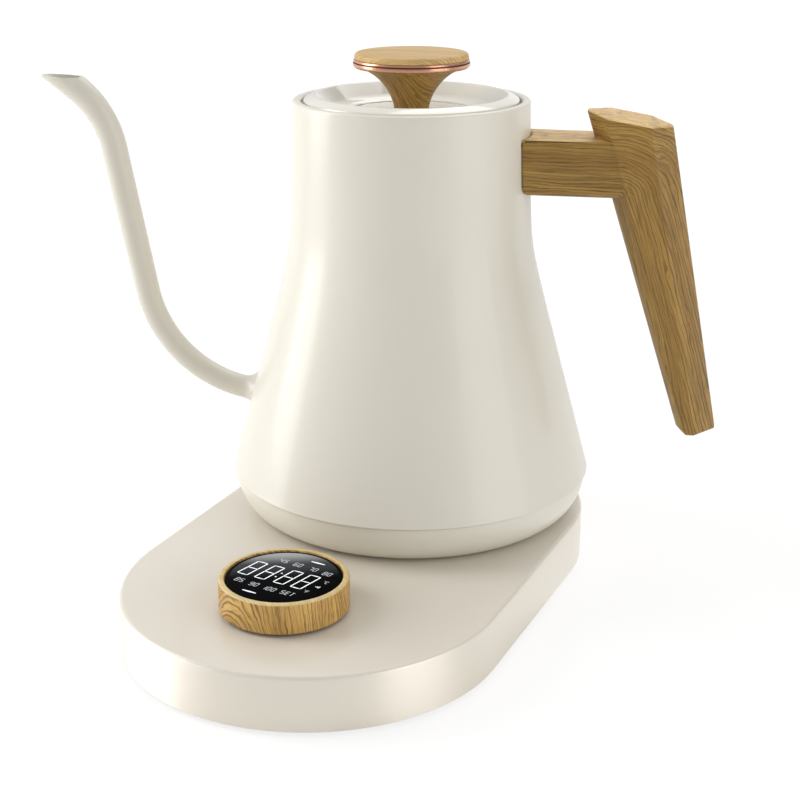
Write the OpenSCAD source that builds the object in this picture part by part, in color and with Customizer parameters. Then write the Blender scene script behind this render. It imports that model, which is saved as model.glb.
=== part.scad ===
// Electric gooseneck kettle on a cordless base with a display dial.
// Millimetres, +Z up. The origin is where the kettle's swivel axis meets the table.
// The base runs back along +Y and its dial lies towards -Y. Kettle pieces are drawn with
// the handle along +X and are then turned about Z by kettle_turn.

/* [Kettle body] */
// Height of the mouth's rim above the kettle's underside
kettle_h = 171; // [150:1:200]
// Radius of the steel shell at its lower seam
shell_foot_r = 75.2; // [70:0.2:85]
// Radius of the neck where it meets the flared skirt
neck_r = 48.5; // [46:0.5:54]
// Radius of the shell at the rim
rim_r = 47.2; // [45:0.2:52]
// Height of the shoulder between skirt and neck
shoulder_h = 113; // [95:1:125]
// Softness of the shoulder
shoulder_blend = 1.3; // [0.5:0.1:4]
// Thickness of the steel shell
shell_wall = 1; // [0.8:0.1:1.5]
// How far the kettle is turned on its base, from +X
kettle_turn = 14; // [0:1:30]

/* [Kettle bottom] */
// Height of the seam between shell and bottom cover
seam_h = 17; // [15:0.5:21]
// Step inward from the shell to the bottom cover
seam_step = 0.9; // [0.4:0.1:1.5]
// Radius of the flat underside
underside_r = 62; // [60:0.5:66]
// Thickness of the bottom cover
cover_wall = 2.2; // [1.8:0.1:3]
// Thickness of the vessel floor
floor_t = 1.2; // [0.8:0.1:2]
// Height of the vessel floor's lower face
floor_h = 20; // [19:0.5:24]

/* [Heater] */
// Radius of the aluminium heat spreader
spreader_r = 52; // [50:1:56]
// Thickness of the heat spreader
spreader_t = 3; // [2:0.5:4]
// Radius of the heating ring's centre line
element_ring_r = 34; // [33:0.5:36]
// Radius of the heating ring's tube
element_tube_r = 3.6; // [3:0.1:4]
// Gap between the ring's ends, as an angle
element_gap_deg = 44; // [30:1:60]
// Radius of the terminal pins
terminal_r = 1.5; // [1:0.1:2]
// Radius of the dry-boil cut-out
cutout_r = 6; // [5:0.5:7]
// Height of the dry-boil cut-out
cutout_h = 7; // [5:0.5:8]
// Radius of the temperature probe
probe_r = 2.5; // [2:0.1:3]
// How far the probe stands into the water
probe_stand = 9; // [6:0.5:14]
// Distance of the probe from the swivel axis
probe_out = 21; // [19:0.5:23]

/* [Mouth and lid] */
// Width of the rolled rim
rim_w = 3.2; // [2.5:0.1:4]
// Depth of the ledge that carries the lid
ledge_depth = 2.6; // [2:0.1:4]
// Radius of the open mouth
mouth_r = 40.5; // [38:0.5:42]
// Depth of the collar below the ledge
collar_depth = 11; // [9:0.5:16]
// Radial gap between rim and lid
lid_gap = 1; // [0.6:0.1:1.4]
// Thickness of the lid's sheet
lid_wall = 1; // [0.8:0.1:1.4]
// Width of the lid's raised brim
brim_w = 5.3; // [4:0.1:7]
// Height of the brim's inner edge above the rim
brim_rise = 2; // [1:0.1:4]
// Radius of the lid's dished floor
dish_r = 31; // [26:0.5:33]
// Depth of the dish below the brim's inner edge
dish_depth = 6.7; // [4:0.1:8]
// Radius of the bead pressed into the dish floor
bead_r = 25; // [18:0.5:25]
// Depth of the liner below the ledge
liner_depth = 12.5; // [11:0.5:16]
// Number of steam holes in the liner
steam_holes = 6; // [3:1:10]

/* [Knob] */
// Radius of the knob's stem
stem_r = 6.9; // [6:0.1:9]
// Radius of the flare under the ring
flare_r = 22.4; // [18:0.1:24]
// Height of the flare above the dish floor
flare_h = 17; // [13:0.5:22]
// Outer radius of the copper ring
ring_r = 23.2; // [22.6:0.1:25]
// Height of the copper ring
ring_h = 2.8; // [2.4:0.1:4]
// Depth of the groove round the copper ring
ring_groove = 0.6; // [0.3:0.1:0.8]
// Radius of the wooden cap
cap_r = 22.6; // [18:0.1:24]
// Height of the wooden cap
cap_h = 3; // [2:0.1:5]

/* [Spout] */
// Height where the spout leaves the shell
spout_root_h = 45; // [40:1:55]
// Height of the spout's level mouth above the rim
spout_tip_rise = 5.3; // [-6:0.1:14]
// Outer radius of the tube at its root
spout_root_r = 4.8; // [4.4:0.1:6]
// Outer radius of the tube at its mouth
spout_tip_r = 5.5; // [4.8:0.1:6.5]
// Wall of the tube
spout_wall = 0.7; // [0.6:0.1:1]
// Climb of the tube where it leaves the shell
spout_root_deg = 5; // [0:1:15]
// Climb of the tube's long straight
spout_lean_deg = 79.5; // [74:0.5:84]
// Climb of the tube at its mouth
spout_pour_deg = 38; // [34:1:50]
// Bend radius of the lower elbow
spout_elbow_r = 52; // [44:1:58]
// Bend radius of the gooseneck
spout_neck_r = 39; // [30:1:46]
// Straight length before the mouth
spout_end = 8; // [6:0.5:12]
// How much the root flares to meet the shell
spout_flare = 2.4; // [0:0.1:3.5]

/* [Handle] */
// How far the arm's top face lies below the rim
arm_drop = 13; // [9:1:21]
// Height of the arm
arm_h = 22; // [18:0.5:26]
// Width of the arm
arm_w = 29; // [24:0.5:29.2]
// Bevel along the arm's lower edges
arm_bevel = 2.8; // [1:0.1:5]
// Bevel along the arm's upper edges
arm_top_bevel = 0.8; // [0.5:0.1:2]
// Distance of the grip's beak from the axis
beak_x = 69.6; // [66:0.2:74]
// Height of the grip's beak above the arm's top face
beak_rise = 10.8; // [7:0.2:16]
// Length of the grip's top face
grip_top = 34; // [28:0.5:38]
// Fall of the grip's top face, in degrees
grip_top_deg = 9.5; // [0:0.5:14]
// Distance of the grip's lower end from the axis
grip_foot_x = 111.3; // [100:0.5:118]
// Height of the grip's lower end
grip_foot_h = 40; // [30:1:60]
// Length of the grip's lower end face
grip_foot = 15.6; // [14:0.2:20]
// Width of the grip at its top
grip_w_top = 30; // [29.6:0.2:34]
// Width of the grip at its lower end
grip_w_foot = 26; // [22:0.5:30]
// Run of the bevels on the inner side at the top
grip_inner_bevel = 8.5; // [5:0.5:10]
// Run of the bevels on the outer side
grip_outer_bevel = 8.2; // [5:0.2:9]
// Run of the inner bevels at the lower end
grip_foot_bevel = 3.6; // [2:0.2:5]
// Width of the blunt ridges between the bevels
grip_ridge = 5; // [3:0.5:8]
// Length of the steel tongue inside the arm
tongue_l = 26; // [20:1:30]
// Width of the tongue
tongue_w = 16; // [12:0.5:18]
// Height of the tongue
tongue_h = 11; // [8:0.5:12]

/* [Cordless connector] */
// Radius of the base's plug
plug_r = 19; // [18:0.5:21]
// Height of the plug above the base
plug_h = 5.5; // [4.5:0.5:7]
// Radial play between plug and socket
plug_play = 0.6; // [0.4:0.1:1]
// Outer radius of the kettle's socket
socket_r = 25; // [24.5:0.5:27]
// Height of the socket's body above the kettle's underside
socket_h = 10.6; // [9.5:0.1:11]
// Radius of the centre pin
pin_r = 2.2; // [1.8:0.1:2.4]
// Middle radius of the inner contact ring
ring_one_r = 8.2; // [7.8:0.1:8.6]
// Middle radius of the outer contact ring
ring_two_r = 13.8; // [13.4:0.1:14.2]
// Thickness of a contact ring
contact_t = 1.3; // [1:0.1:1.6]
// How far the contacts reach below the socket's roof
contact_reach = 4.4; // [3.6:0.1:4.6]

/* [Base] */
// How far the base's round ends lie inside the kettle's foot
base_inset = 1.4; // [-4:0.1:3]
// Distance between the centres of the round ends
base_run = 91.7; // [86:0.5:110]
// Height of the base's cover
base_h = 21.5; // [21:0.5:26]
// Wall of the base's cover
base_wall = 2.4; // [2:0.1:3]
// Rounding of the cover's top edge
base_edge_r = 1.6; // [1:0.1:2.4]
// Thickness of the bottom plate
plate_t = 2.4; // [2:0.1:3]
// Radius of a rubber foot
foot_r = 6.5; // [5:0.5:8]
// How far the feet stand below the base
foot_h = 1.5; // [1:0.1:3]
// Radius of the cord inlet's bore
inlet_r = 3.6; // [3:0.1:4]
// Radius of the inlet bush outside the wall
inlet_flange_r = 7; // [6.2:0.1:7.4]
// Length of the inlet bush inside the wall
inlet_l = 12; // [8:0.5:16]

/* [Dial] */
// How far the dial lies beyond the centre of the base's front end
dial_ahead = 24; // [20:0.1:30]
// Outer radius of the wooden ring
dial_r = 24.2; // [23.4:0.1:26]
// Height of the dial's top above the base
dial_h = 13.2; // [12:0.1:16]
// Width of the wooden rim round the lens
dial_rim = 2.4; // [2:0.1:3]
// Gap under the dial at rest
dial_gap = 1.3; // [1.2:0.1:2]
// Travel of the dial when pressed
dial_travel = 0.6; // [0.4:0.1:0.8]
// Thickness of the glass lens
lens_t = 1.2; // [0.8:0.1:1.6]
// Depth of the lens below the rim's top
lens_sink = 0.5; // [0.3:0.1:0.8]
// Radius of the dial's push stem
push_r = 7; // [6:0.5:9]

/* [Circuit boards] */
// Thickness of a circuit board
board_t = 1.6; // [1:0.1:2]
// Height of the boards above the bottom plate
standoff_h = 5; // [3:0.5:6]
// Length of the power board
power_board_l = 84; // [78:1:88]
// Width of the power board
power_board_w = 56; // [52:1:60]
// Length of the control board
control_board_l = 46; // [40:1:48]
// Width of the control board
control_board_w = 60; // [52:1:64]
// Height of the push switch's case
switch_h = 3; // [2.5:0.1:3.5]

/* [Fasteners and clearances] */
// Radius of a screw's shank
screw_r = 1.5; // [1.2:0.1:1.8]
// Radius of a screw's head
screw_head_r = 2.8; // [2.6:0.1:3.2]
// Height of a screw's head
screw_head_h = 1.4; // [1:0.1:1.6]
// Clearance between pieces that move apart
gap = 0.3; // [0.25:0.05:0.4]
// Clearance between pieces fixed together
seat = 0.05; // [0.02:0.01:0.08]

/* [Hidden] */
$fn = 96;
// A cut runs this far past the face it opens
over = 1;
// Levels on the base
cover_top = foot_h + base_h;
plate_in = foot_h + plate_t;
ceiling = cover_top - base_wall;
board_z = plate_in + standoff_h;
board_top = board_z + board_t;
// The kettle stands a hair above the base
kettle_z = cover_top + gap;
// Radii of the base's round ends, outside and inside
base_r = shell_foot_r - base_inset;
base_in_r = base_r - base_wall;
plate_r = base_in_r - gap;
// Steps of the shell's profile
shell_steps = 24;
shell_run = kettle_h - seam_h;
// Lid radii and levels
ledge_h = kettle_h - ledge_depth;
rim_in_r = rim_r - rim_w;
lid_r = rim_in_r - lid_gap;
brim_in_r = lid_r - brim_w;
brim_h = kettle_h + brim_rise;
dish_h = brim_h - dish_depth;
gasket_room = 1.3;
liner_r = mouth_r - gasket_room;
liner_boss_wall = 2.5;
steam_r = 2;
steam_inset = 9;
liner_low = ledge_h - liner_depth;
// Knob levels
knob_z = dish_h + flare_h;
flare_lip = 0.4;
flare_shape = 1.7;
knob_screw_l = 9;
ring_z = knob_z + flare_lip;
cap_z = ring_z + ring_h;
ring_lap = 1.1;
knob_in_r = cap_r - ring_lap;
// Heights that follow the rim
arm_top_h = kettle_h - arm_drop;
beak_h = arm_top_h + beak_rise;
spout_tip_h = kettle_h + spout_tip_rise;
// Connector levels
plug_top = cover_top + plug_h;
socket_roof = plug_top + 2 * gap;
contact_low = socket_roof - contact_reach;
contact_rings = [ring_one_r, ring_two_r];
// How far the connector hangs below the cover's ceiling, and how deep its slots start
connector_drop = 4;
connector_floor = 2;
socket_cap = 1.5;
slot_w = contact_t + 2 * plug_play;
slot_floor = contact_low - gap;
// Flanges that hold the connector's halves in their covers
socket_flange = 2;
plug_flange = 4;
// Dial place and levels
dial_out = base_run + dial_ahead;
dial_low = cover_top + dial_gap;
dial_top = cover_top + dial_h;
lens_r = dial_r - dial_rim - gap;
lens_z = dial_top - lens_sink - lens_t;
carrier_lip = 2;
carrier_lip_r = dial_r - dial_rim + 0.6;
switch_top = board_top + switch_h;
push_low = switch_top + dial_travel + gap;
carrier_floor = 3;
guide_r = push_r + 2.5;
guide_drop = 3;
guide_flange = 2.5;
cup_wall = 1.2;
push_wall = 2;
display_inset = 1.5;
display_l = 30;
display_w = 15;
switch_w = 6;
button_r = 1.7;
button_rise = 0.8;
// Centres of the base's round ends along Y
base_ends = [-base_run, 0];
// Screw posts and feet, by their reach from the ends' centres and their turn there
post_inset = 15;
post_reach = base_r - post_inset;
post_deg = 46;
post_wall = 2.2;
base_screw_l = 9;
foot_inset = 19;
foot_reach = base_r - foot_inset;
foot_deg = 26;
foot_sink = 0.8;
// Height of the cord inlet's axis
inlet_lift = 4.5;
inlet_z = plate_in + inlet_r + inlet_lift;
inlet_sleeve_r = inlet_r + 2;
// Boards stand on posts set in from their corners
standoff_r = 2.5;
standoff_inset = 4;
room_h = ceiling - board_top;
// The power board lies a gap behind the control board
board_gap = 2.7;
power_y = control_board_l / 2 + board_gap + power_board_l / 2 - dial_out;
// Parts on the power board, placed from its middle
relay_x = -14;
relay_y = -18;
relay_l = 19;
relay_w = 15.4;
transformer_x = 12;
transformer_y = -22;
core_l = 20;
core_w = 17;
coil_l = 12;
coil_w = 22;
can_x = -20;
can_y = -32;
can_r = 4;
can_l = 12;
terminal_pitch = 8;
terminal_w = 9;
terminal_inset = 6;
terminal_hole_r = 1.8;
// The studs stand clear of the spreader and inside the cover
stud_r = 3.6;
stud_gap = 2;
stud_out = spreader_r + stud_r + stud_gap;
stud_turns = [30, 150, 270];
stud_screw_l = 7;
probe_turn = 200;
seal_r = probe_r + 1.5;
seal_stand = 1;
pin_stand = 5;
pin_climb = 3;
bush_flange_t = 1.5;
cutout_turn = -45;
element_z = floor_h - spreader_t - element_tube_r - seat;
handle_screw_out = 15;
handle_screw_x = neck_r + handle_screw_out;
arm_mid_h = arm_top_h - arm_h / 2;
// The arm ends inside the grip
arm_reach = 21;
arm_end_x = beak_x + arm_reach;
straight_rings = 4;
bend_rings = 14;
spout_sides = 24;
spout_bury = 4.5;
root_keep = 2.6;
flare_run = 9;

// ---------- helpers ----------

// A disc or tube between two levels
module disc(r, z0, z1, bore = 0) {
    translate([0, 0, z0]) difference() {
        cylinder(r = r, h = z1 - z0);
        if (bore > 0) translate([0, 0, -over]) cylinder(r = bore, h = z1 - z0 + 2 * over);
    }
}

// A block centred on X and Y, standing on z0
module block(l, w, h, z0) {
    translate([-l / 2, -w / 2, z0]) cube([l, w, h]);
}

// Children at the kettle's place on the base
module on_dock() {
    rotate([0, 0, kettle_turn]) translate([0, 0, kettle_z]) children();
}

// Children at the dial's place
module at_dial() {
    translate([0, -dial_out, 0]) children();
}

// A stadium-shaped slab with straight walls
module stadium(r, z0, z1) {
    translate([0, 0, z0]) linear_extrude(z1 - z0) {
        for (y = base_ends) translate([0, y]) circle(r);
        translate([-r, -base_run]) square([2 * r, base_run]);
    }
}

// A stadium-shaped slab whose top edge is rounded
module soft_stadium(r, z0, z1, edge) {
    profile = concat(
        [[0, z0], [r, z0]],
        [for (a = [0 : 15 : 90]) [r - edge + edge * cos(a), z1 - edge + edge * sin(a)]],
        [[0, z1]]
    );
    for (y = base_ends) translate([0, y, 0]) rotate_extrude() polygon(profile);
    rotate([90, 0, 0]) linear_extrude(base_run) {
        polygon(profile);
        mirror([1, 0]) polygon(profile);
    }
}

// A screw whose head lies at z0 and whose shank points up
module screw(shank) {
    cylinder(r = screw_head_r, h = screw_head_h);
    cylinder(r = screw_r, h = screw_head_h + shank);
}

// The hole that such a screw passes through
module screw_hole(through) {
    translate([0, 0, -over]) cylinder(r = screw_head_r + 0.3, h = screw_head_h + over + seat);
    cylinder(r = screw_r + seat, h = through);
}

// Children at the probe's place in the kettle
module at_probe() {
    rotate([0, 0, probe_turn]) translate([probe_out, 0, 0]) children();
}

// Children at the three studs of the kettle's bottom
module at_studs() {
    for (turn = stud_turns) rotate([0, 0, turn]) translate([stud_out, 0, 0]) children();
}

// ---------- kettle shell ----------

// Outer radius of the shell at a height: a skirt line and a neck line, blended
function skirt_r(h) = shell_foot_r + (neck_r - shell_foot_r) * (h - seam_h) / (shoulder_h - seam_h);
function upper_r(h) = neck_r + (rim_r - neck_r) * (h - shoulder_h) / (kettle_h - shoulder_h);
function shell_r(h) =
    (skirt_r(h) + upper_r(h)) / 2
    + sqrt(pow((skirt_r(h) - upper_r(h)) / 2, 2) + pow(shoulder_blend, 2));
function shell_levels(top) = [for (i = [0 : shell_steps]) seam_h + (top - seam_h) * i / shell_steps];

// The shell's outside as a solid, grown by a margin
module shell_solid(margin) {
    side = [for (h = shell_levels(kettle_h)) [shell_r(h) + margin, h]];
    rotate_extrude() polygon(concat([[0, seam_h]], side, [[0, kettle_h]]));
}

module kettle_shell() {
    roll = 1;
    outside = [for (h = shell_levels(kettle_h - roll)) [shell_r(h), h]];
    inside = [for (h = shell_levels(ledge_h - shell_wall)) [shell_r(h) - shell_wall, h]];
    rim_out = shell_r(kettle_h);
    rim = [
        for (a = [30 : 30 : 90]) [rim_out - roll + roll * cos(a), kettle_h - roll + roll * sin(a)],
        for (a = [90 : 30 : 180]) [rim_in_r + roll + roll * cos(a), kettle_h - roll + roll * sin(a)]
    ];
    ledge = [
        [rim_in_r, ledge_h],
        [mouth_r, ledge_h],
        [mouth_r, ledge_h - collar_depth],
        [mouth_r + shell_wall, ledge_h - collar_depth],
        [mouth_r + shell_wall, ledge_h - shell_wall]
    ];
    count = len(inside);
    back_down = [for (i = [0 : count - 1]) inside[count - 1 - i]];
    on_dock() color("ivory") difference() {
        rotate_extrude() polygon(concat(outside, rim, ledge, back_down));
        spout_place() spout_root_cut();
    }
}

// ---------- kettle bottom and heater ----------

// Side of the bottom cover: a quarter ellipse from the underside up to the seam
function cover_side(inset) =
    let (a = shell_foot_r - seam_step - underside_r)
    [for (t = [0 : 7.5 : 90]) [underside_r + (a - inset) * sin(t), seam_h - (seam_h - inset) * cos(t)]];

module bottom_cover() {
    outer = cover_side(0);
    inner = cover_side(cover_wall);
    count = len(inner);
    hole = socket_r + gap;
    top_lip = seam_h - gap;
    on_dock() color("ivory") difference() {
        rotate_extrude() polygon(concat(
            [[hole, 0]], outer, [for (i = [0 : count - 1]) inner[count - 1 - i]], [[hole, cover_wall]]
        ));
        at_studs() screw_hole(cover_wall + over);
        translate([0, 0, top_lip]) cylinder(r = shell_foot_r + over, h = over);
    }
}

module bottom_screws() {
    on_dock() color("silver") at_studs() screw(stud_screw_l);
}

// Floor of the water vessel, with the studs that hold the bottom cover
module vessel_floor() {
    edge_r = shell_r(floor_h) - shell_wall - seat - 0.4;
    on_dock() color("lightgray") difference() {
        union() {
            disc(edge_r, floor_h, floor_h + floor_t);
            at_studs() disc(stud_r, cover_wall + seat, floor_h + over / 2);
        }
        at_studs() cylinder(r = screw_r + seat, h = screw_head_h + stud_screw_l + over);
        at_probe() cylinder(r = seal_r + seat, h = floor_h + floor_t + over);
    }
}

module heat_spreader() {
    on_dock() color("gainsboro") difference() {
        disc(spreader_r, floor_h - spreader_t, floor_h);
        at_probe() cylinder(r = seal_r + seat, h = floor_h + over);
    }
}

module heating_element() {
    on_dock() color("dimgray") translate([0, 0, element_z]) rotate([0, 0, 90 + element_gap_deg / 2])
        rotate_extrude(angle = 360 - element_gap_deg) translate([element_ring_r, 0]) circle(element_tube_r);
}

// The two cold pins at the ends of the heating ring
module element_terminals() {
    pin_in = terminal_r + seat;
    pin_drop = element_tube_r + pin_stand;
    side = element_gap_deg / 2 - asin(pin_in / element_ring_r);
    on_dock() color("goldenrod") for (turn = [90 - side, 90 + side]) rotate([0, 0, turn])
        translate([element_ring_r, 0, 0]) disc(terminal_r, element_z - pin_drop, element_z + pin_climb);
}

module dry_boil_cutout() {
    top = floor_h - spreader_t - seat;
    on_dock() color("black") rotate([0, 0, cutout_turn]) translate([spreader_r - cutout_r - 1, 0, 0])
        disc(cutout_r, top - cutout_h, top);
}

module temperature_probe() {
    low = socket_h + 1.5;
    dome = floor_h + floor_t + probe_stand - probe_r;
    on_dock() color("silver") at_probe() union() {
        disc(probe_r, low, dome);
        translate([0, 0, dome]) sphere(probe_r);
    }
}

module probe_seal() {
    on_dock() color("orangered") at_probe()
        disc(seal_r, floor_h - spreader_t - seal_stand, floor_h + floor_t + seal_stand, probe_r + seat);
}

// ---------- cordless connector ----------

module kettle_socket() {
    low = kettle_z;
    top = kettle_z + socket_h;
    flange_low = kettle_z + cover_wall + gap;
    color("dimgray") difference() {
        union() {
            disc(socket_r, low, top);
            disc(socket_r + socket_flange, flange_low, flange_low + socket_flange);
        }
        disc(plug_r + plug_play, low - over, socket_roof);
        for (r = contact_rings)
            disc(r + contact_t / 2 + seat, socket_roof - over, top - socket_cap, r - contact_t / 2 - seat);
        disc(pin_r + seat, socket_roof - over, top - socket_cap);
    }
}

module kettle_contacts() {
    top = kettle_z + socket_h - socket_cap - seat;
    color("goldenrod") {
        for (r = contact_rings) disc(r + contact_t / 2, contact_low, top, r - contact_t / 2);
        disc(pin_r, contact_low, top);
    }
}

module base_connector() {
    flange_r = plug_r + plug_flange;
    low = ceiling - connector_drop;
    color("dimgray") difference() {
        union() {
            disc(plug_r, low, plug_top);
            disc(flange_r, low, ceiling - seat);
        }
        for (r = contact_rings) disc(r + slot_w / 2, low + connector_floor, plug_top + over, r - slot_w / 2);
        disc(pin_r + plug_play, low + connector_floor, plug_top + over);
    }
}

// Spring contacts at the bottom of the plug's slots
module base_contacts() {
    low = ceiling - connector_drop + connector_floor + seat;
    half = slot_w / 2 - gap;
    color("goldenrod") {
        for (r = contact_rings) disc(r + half, low, slot_floor, r - half);
        disc(pin_r, low, slot_floor);
    }
}

// ---------- base ----------

// Both sides of the base at both round ends, out by a reach and a turn
module at_ends(reach, turn) {
    for (side = [-1, 1]) {
        translate([side * reach * cos(turn), reach * sin(turn), 0]) children();
        translate([side * reach * cos(turn), -base_run - reach * sin(turn), 0]) children();
    }
}

// Both sides of the base at one distance along it
module at_sides(reach, y) {
    for (side = [-1, 1]) translate([side * reach, y, 0]) children();
}

// Places of the six screw posts
module each_post() {
    at_ends(post_reach, post_deg) children();
    at_sides(post_reach, -base_run / 2) children();
}

// Places of the six rubber feet
module each_foot() {
    at_ends(foot_reach, foot_deg) children();
    at_sides(foot_reach, -base_run * 0.3) children();
}

module base_cover() {
    post_r = screw_r + post_wall;
    color("ivory") difference() {
        union() {
            difference() {
                soft_stadium(base_r, foot_h, cover_top, base_edge_r);
                stadium(base_in_r, foot_h - over, ceiling);
            }
            each_post() disc(post_r, plate_in + seat, ceiling + over / 2);
        }
        each_post() disc(screw_r + seat, plate_in, ceiling - 3);
        disc(plug_r + seat, ceiling - over, cover_top + over);
        at_dial() disc(guide_r, ceiling - over, cover_top + over);
        inlet_hole(inlet_sleeve_r + seat);
    }
}

// A level hole through the back wall on the cord inlet's axis
module inlet_hole(r) {
    translate([0, base_in_r, inlet_z]) rotate([-90, 0, 0]) disc(r, -2 * over, base_wall + 2 * over);
}

// The four standoffs of a board
module standoffs(l, w) {
    for (x = [-1, 1], y = [-1, 1]) translate([x * (w / 2 - standoff_inset), y * (l / 2 - standoff_inset), 0])
        disc(standoff_r, plate_in - over, board_z - seat);
}

module base_bottom() {
    color("dimgray") difference() {
        union() {
            stadium(plate_r, foot_h, plate_in);
            translate([0, power_y, 0]) standoffs(power_board_l, power_board_w);
            at_dial() standoffs(control_board_l, control_board_w);
        }
        each_post() translate([0, 0, foot_h]) screw_hole(plate_t + over);
        each_foot() disc(foot_r + seat, foot_h - over, foot_h + foot_sink);
    }
}

module base_feet() {
    color("black") each_foot() disc(foot_r, 0, foot_h + foot_sink - seat);
}

module base_screws() {
    color("silver") each_post() translate([0, 0, foot_h]) screw(base_screw_l);
}

// Grooved bush that the mains lead passes through
module inlet_bush() {
    length = inlet_l + bush_flange_t;
    color("black") translate([0, base_r + bush_flange_t, inlet_z]) rotate([90, 0, 0]) difference() {
        union() {
            cylinder(r = inlet_flange_r, h = bush_flange_t - seat);
            cylinder(r = inlet_sleeve_r, h = length);
        }
        translate([0, 0, -over]) cylinder(r = inlet_r, h = length + 2 * over);
    }
}

// ---------- circuit boards ----------

module power_board() {
    color("darkgreen") translate([0, power_y, 0]) block(power_board_w, power_board_l, board_t, board_z);
}

module power_relay() {
    color("royalblue") translate([relay_x, power_y + relay_y, 0])
        block(relay_l, relay_w, room_h - 1, board_top + seat);
}

module power_transformer() {
    color("gold") translate([transformer_x, power_y + transformer_y, 0]) union() {
        block(core_l, core_w, room_h / 2, board_top + seat);
        block(coil_l, coil_w, room_h * 0.75, board_top + seat);
    }
}

module power_capacitor() {
    color("navy") translate([can_x, power_y + can_y, board_top + can_r + seat]) rotate([0, 90, 0])
        cylinder(r = can_r, h = can_l);
}

module power_terminals() {
    height = room_h - connector_drop - 1;
    top = board_top + height;
    color("darkseagreen") translate([0, power_y + power_board_l / 2 - terminal_inset, 0]) difference() {
        block(3 * terminal_pitch, terminal_w, height, board_top + seat);
        for (x = [-1, 0, 1]) translate([x * terminal_pitch, 0, 0])
            disc(terminal_hole_r, board_top + terminal_hole_r, top + over);
    }
}

module control_board() {
    color("darkgreen") at_dial() block(control_board_w, control_board_l, board_t, board_z);
}

module press_switch() {
    color("black") at_dial() union() {
        block(switch_w, switch_w, switch_h - button_rise, board_top + seat);
        disc(button_r, board_top + over, switch_top);
    }
}

// ---------- dial ----------

// Bush that guides the dial's push stem through the cover
module dial_guide() {
    color("gray") at_dial() union() {
        disc(guide_r - seat, ceiling - guide_drop, cover_top - seat, push_r + gap);
        disc(guide_r + guide_flange, ceiling - guide_drop, ceiling - seat, push_r + gap);
    }
}

module dial_carrier() {
    low = dial_low;
    cup_r = lens_r - cup_wall;
    color("dimgray") at_dial() difference() {
        union() {
            disc(lens_r, low, lens_z - seat);
            disc(carrier_lip_r - gap, low, low + carrier_lip);
            disc(push_r, push_low, low + over);
        }
        disc(cup_r, low + carrier_floor, lens_z + over);
        disc(push_r - push_wall, push_low + push_wall, low + carrier_floor + over);
    }
}

module dial_display() {
    board_r = lens_r - display_inset;
    low = dial_low + carrier_floor + seat;
    color("darkslategray") at_dial() union() {
        disc(board_r, low, low + board_t);
        block(display_l, display_w, lens_z - seat - low, low);
    }
}

module dial_lens() {
    color("black") at_dial() disc(lens_r, lens_z, lens_z + lens_t);
}

module dial_ring() {
    bore = lens_r + gap;
    lip_top = dial_low + carrier_lip + gap;
    soft = 0.8;
    edge = [for (a = [0 : 30 : 90]) [dial_r - soft + soft * cos(a), dial_top - soft + soft * sin(a)]];
    color("burlywood") at_dial() rotate_extrude() polygon(concat(
        [[carrier_lip_r, dial_low], [dial_r - 0.4, dial_low], [dial_r, dial_low + 0.4]],
        edge,
        [[bore + 0.5, dial_top], [bore, dial_top - 0.5], [bore, lip_top], [carrier_lip_r, lip_top]]
    ));
}

// ---------- spout ----------

// The centre line climbs from the root, round the elbow, up the long straight,
// back over the gooseneck and out to a level mouth. Each point is [outward, height, climb].
elbow_rise = spout_elbow_r * (cos(spout_root_deg) - cos(spout_lean_deg));
neck_rise = spout_neck_r * (cos(spout_pour_deg) - cos(spout_lean_deg));
end_rise = spout_end * sin(spout_pour_deg);
straight_rise = spout_tip_h - spout_root_h - elbow_rise - neck_rise - end_rise;
spout_straight = straight_rise / sin(spout_lean_deg);
root_point = [shell_r(spout_root_h), spout_root_h, spout_root_deg];

// The climb at one of a bend's rings
function between(from, to, i) = from + (to - from) * i / bend_rings;
function ahead(p, l) = [p[0] + l * cos(p[2]), p[1] + l * sin(p[2]), p[2]];
function bend_up(p, r, a) = [p[0] + r * (sin(a) - sin(p[2])), p[1] + r * (cos(p[2]) - cos(a)), a];
function bend_out(p, r, a) = [p[0] + r * (sin(p[2]) - sin(a)), p[1] + r * (cos(a) - cos(p[2])), a];

elbow_end = bend_up(root_point, spout_elbow_r, spout_lean_deg);
straight_end = ahead(elbow_end, spout_straight);
neck_end = bend_out(straight_end, spout_neck_r, spout_pour_deg);
spout_line = [
    for (l = [-spout_bury, -spout_bury / 2]) ahead(root_point, l),
    for (i = [0 : bend_rings]) bend_up(root_point, spout_elbow_r, between(spout_root_deg, spout_lean_deg, i)),
    for (i = [1 : straight_rings - 1]) ahead(elbow_end, spout_straight * i / straight_rings),
    for (i = [0 : bend_rings])
        bend_out(straight_end, spout_neck_r, between(spout_lean_deg, spout_pour_deg, i)),
    for (i = [1 : straight_rings]) ahead(neck_end, spout_end * i / straight_rings)
];
spout_count = len(spout_line);

// Share of the way up, and the tube's outer radius there
function way_up(p) = max(0, min(1, (p[1] - spout_root_h) / (spout_tip_h - spout_root_h)));
// The root keeps its full width through the sloping wall and then narrows
function root_share(p) = max(0, min(1, 1 - (p[0] - root_point[0] - root_keep) / flare_run));
function tube_r(p) =
    spout_root_r + (spout_tip_r - spout_root_r) * way_up(p) + spout_flare * pow(root_share(p), 2);
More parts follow.
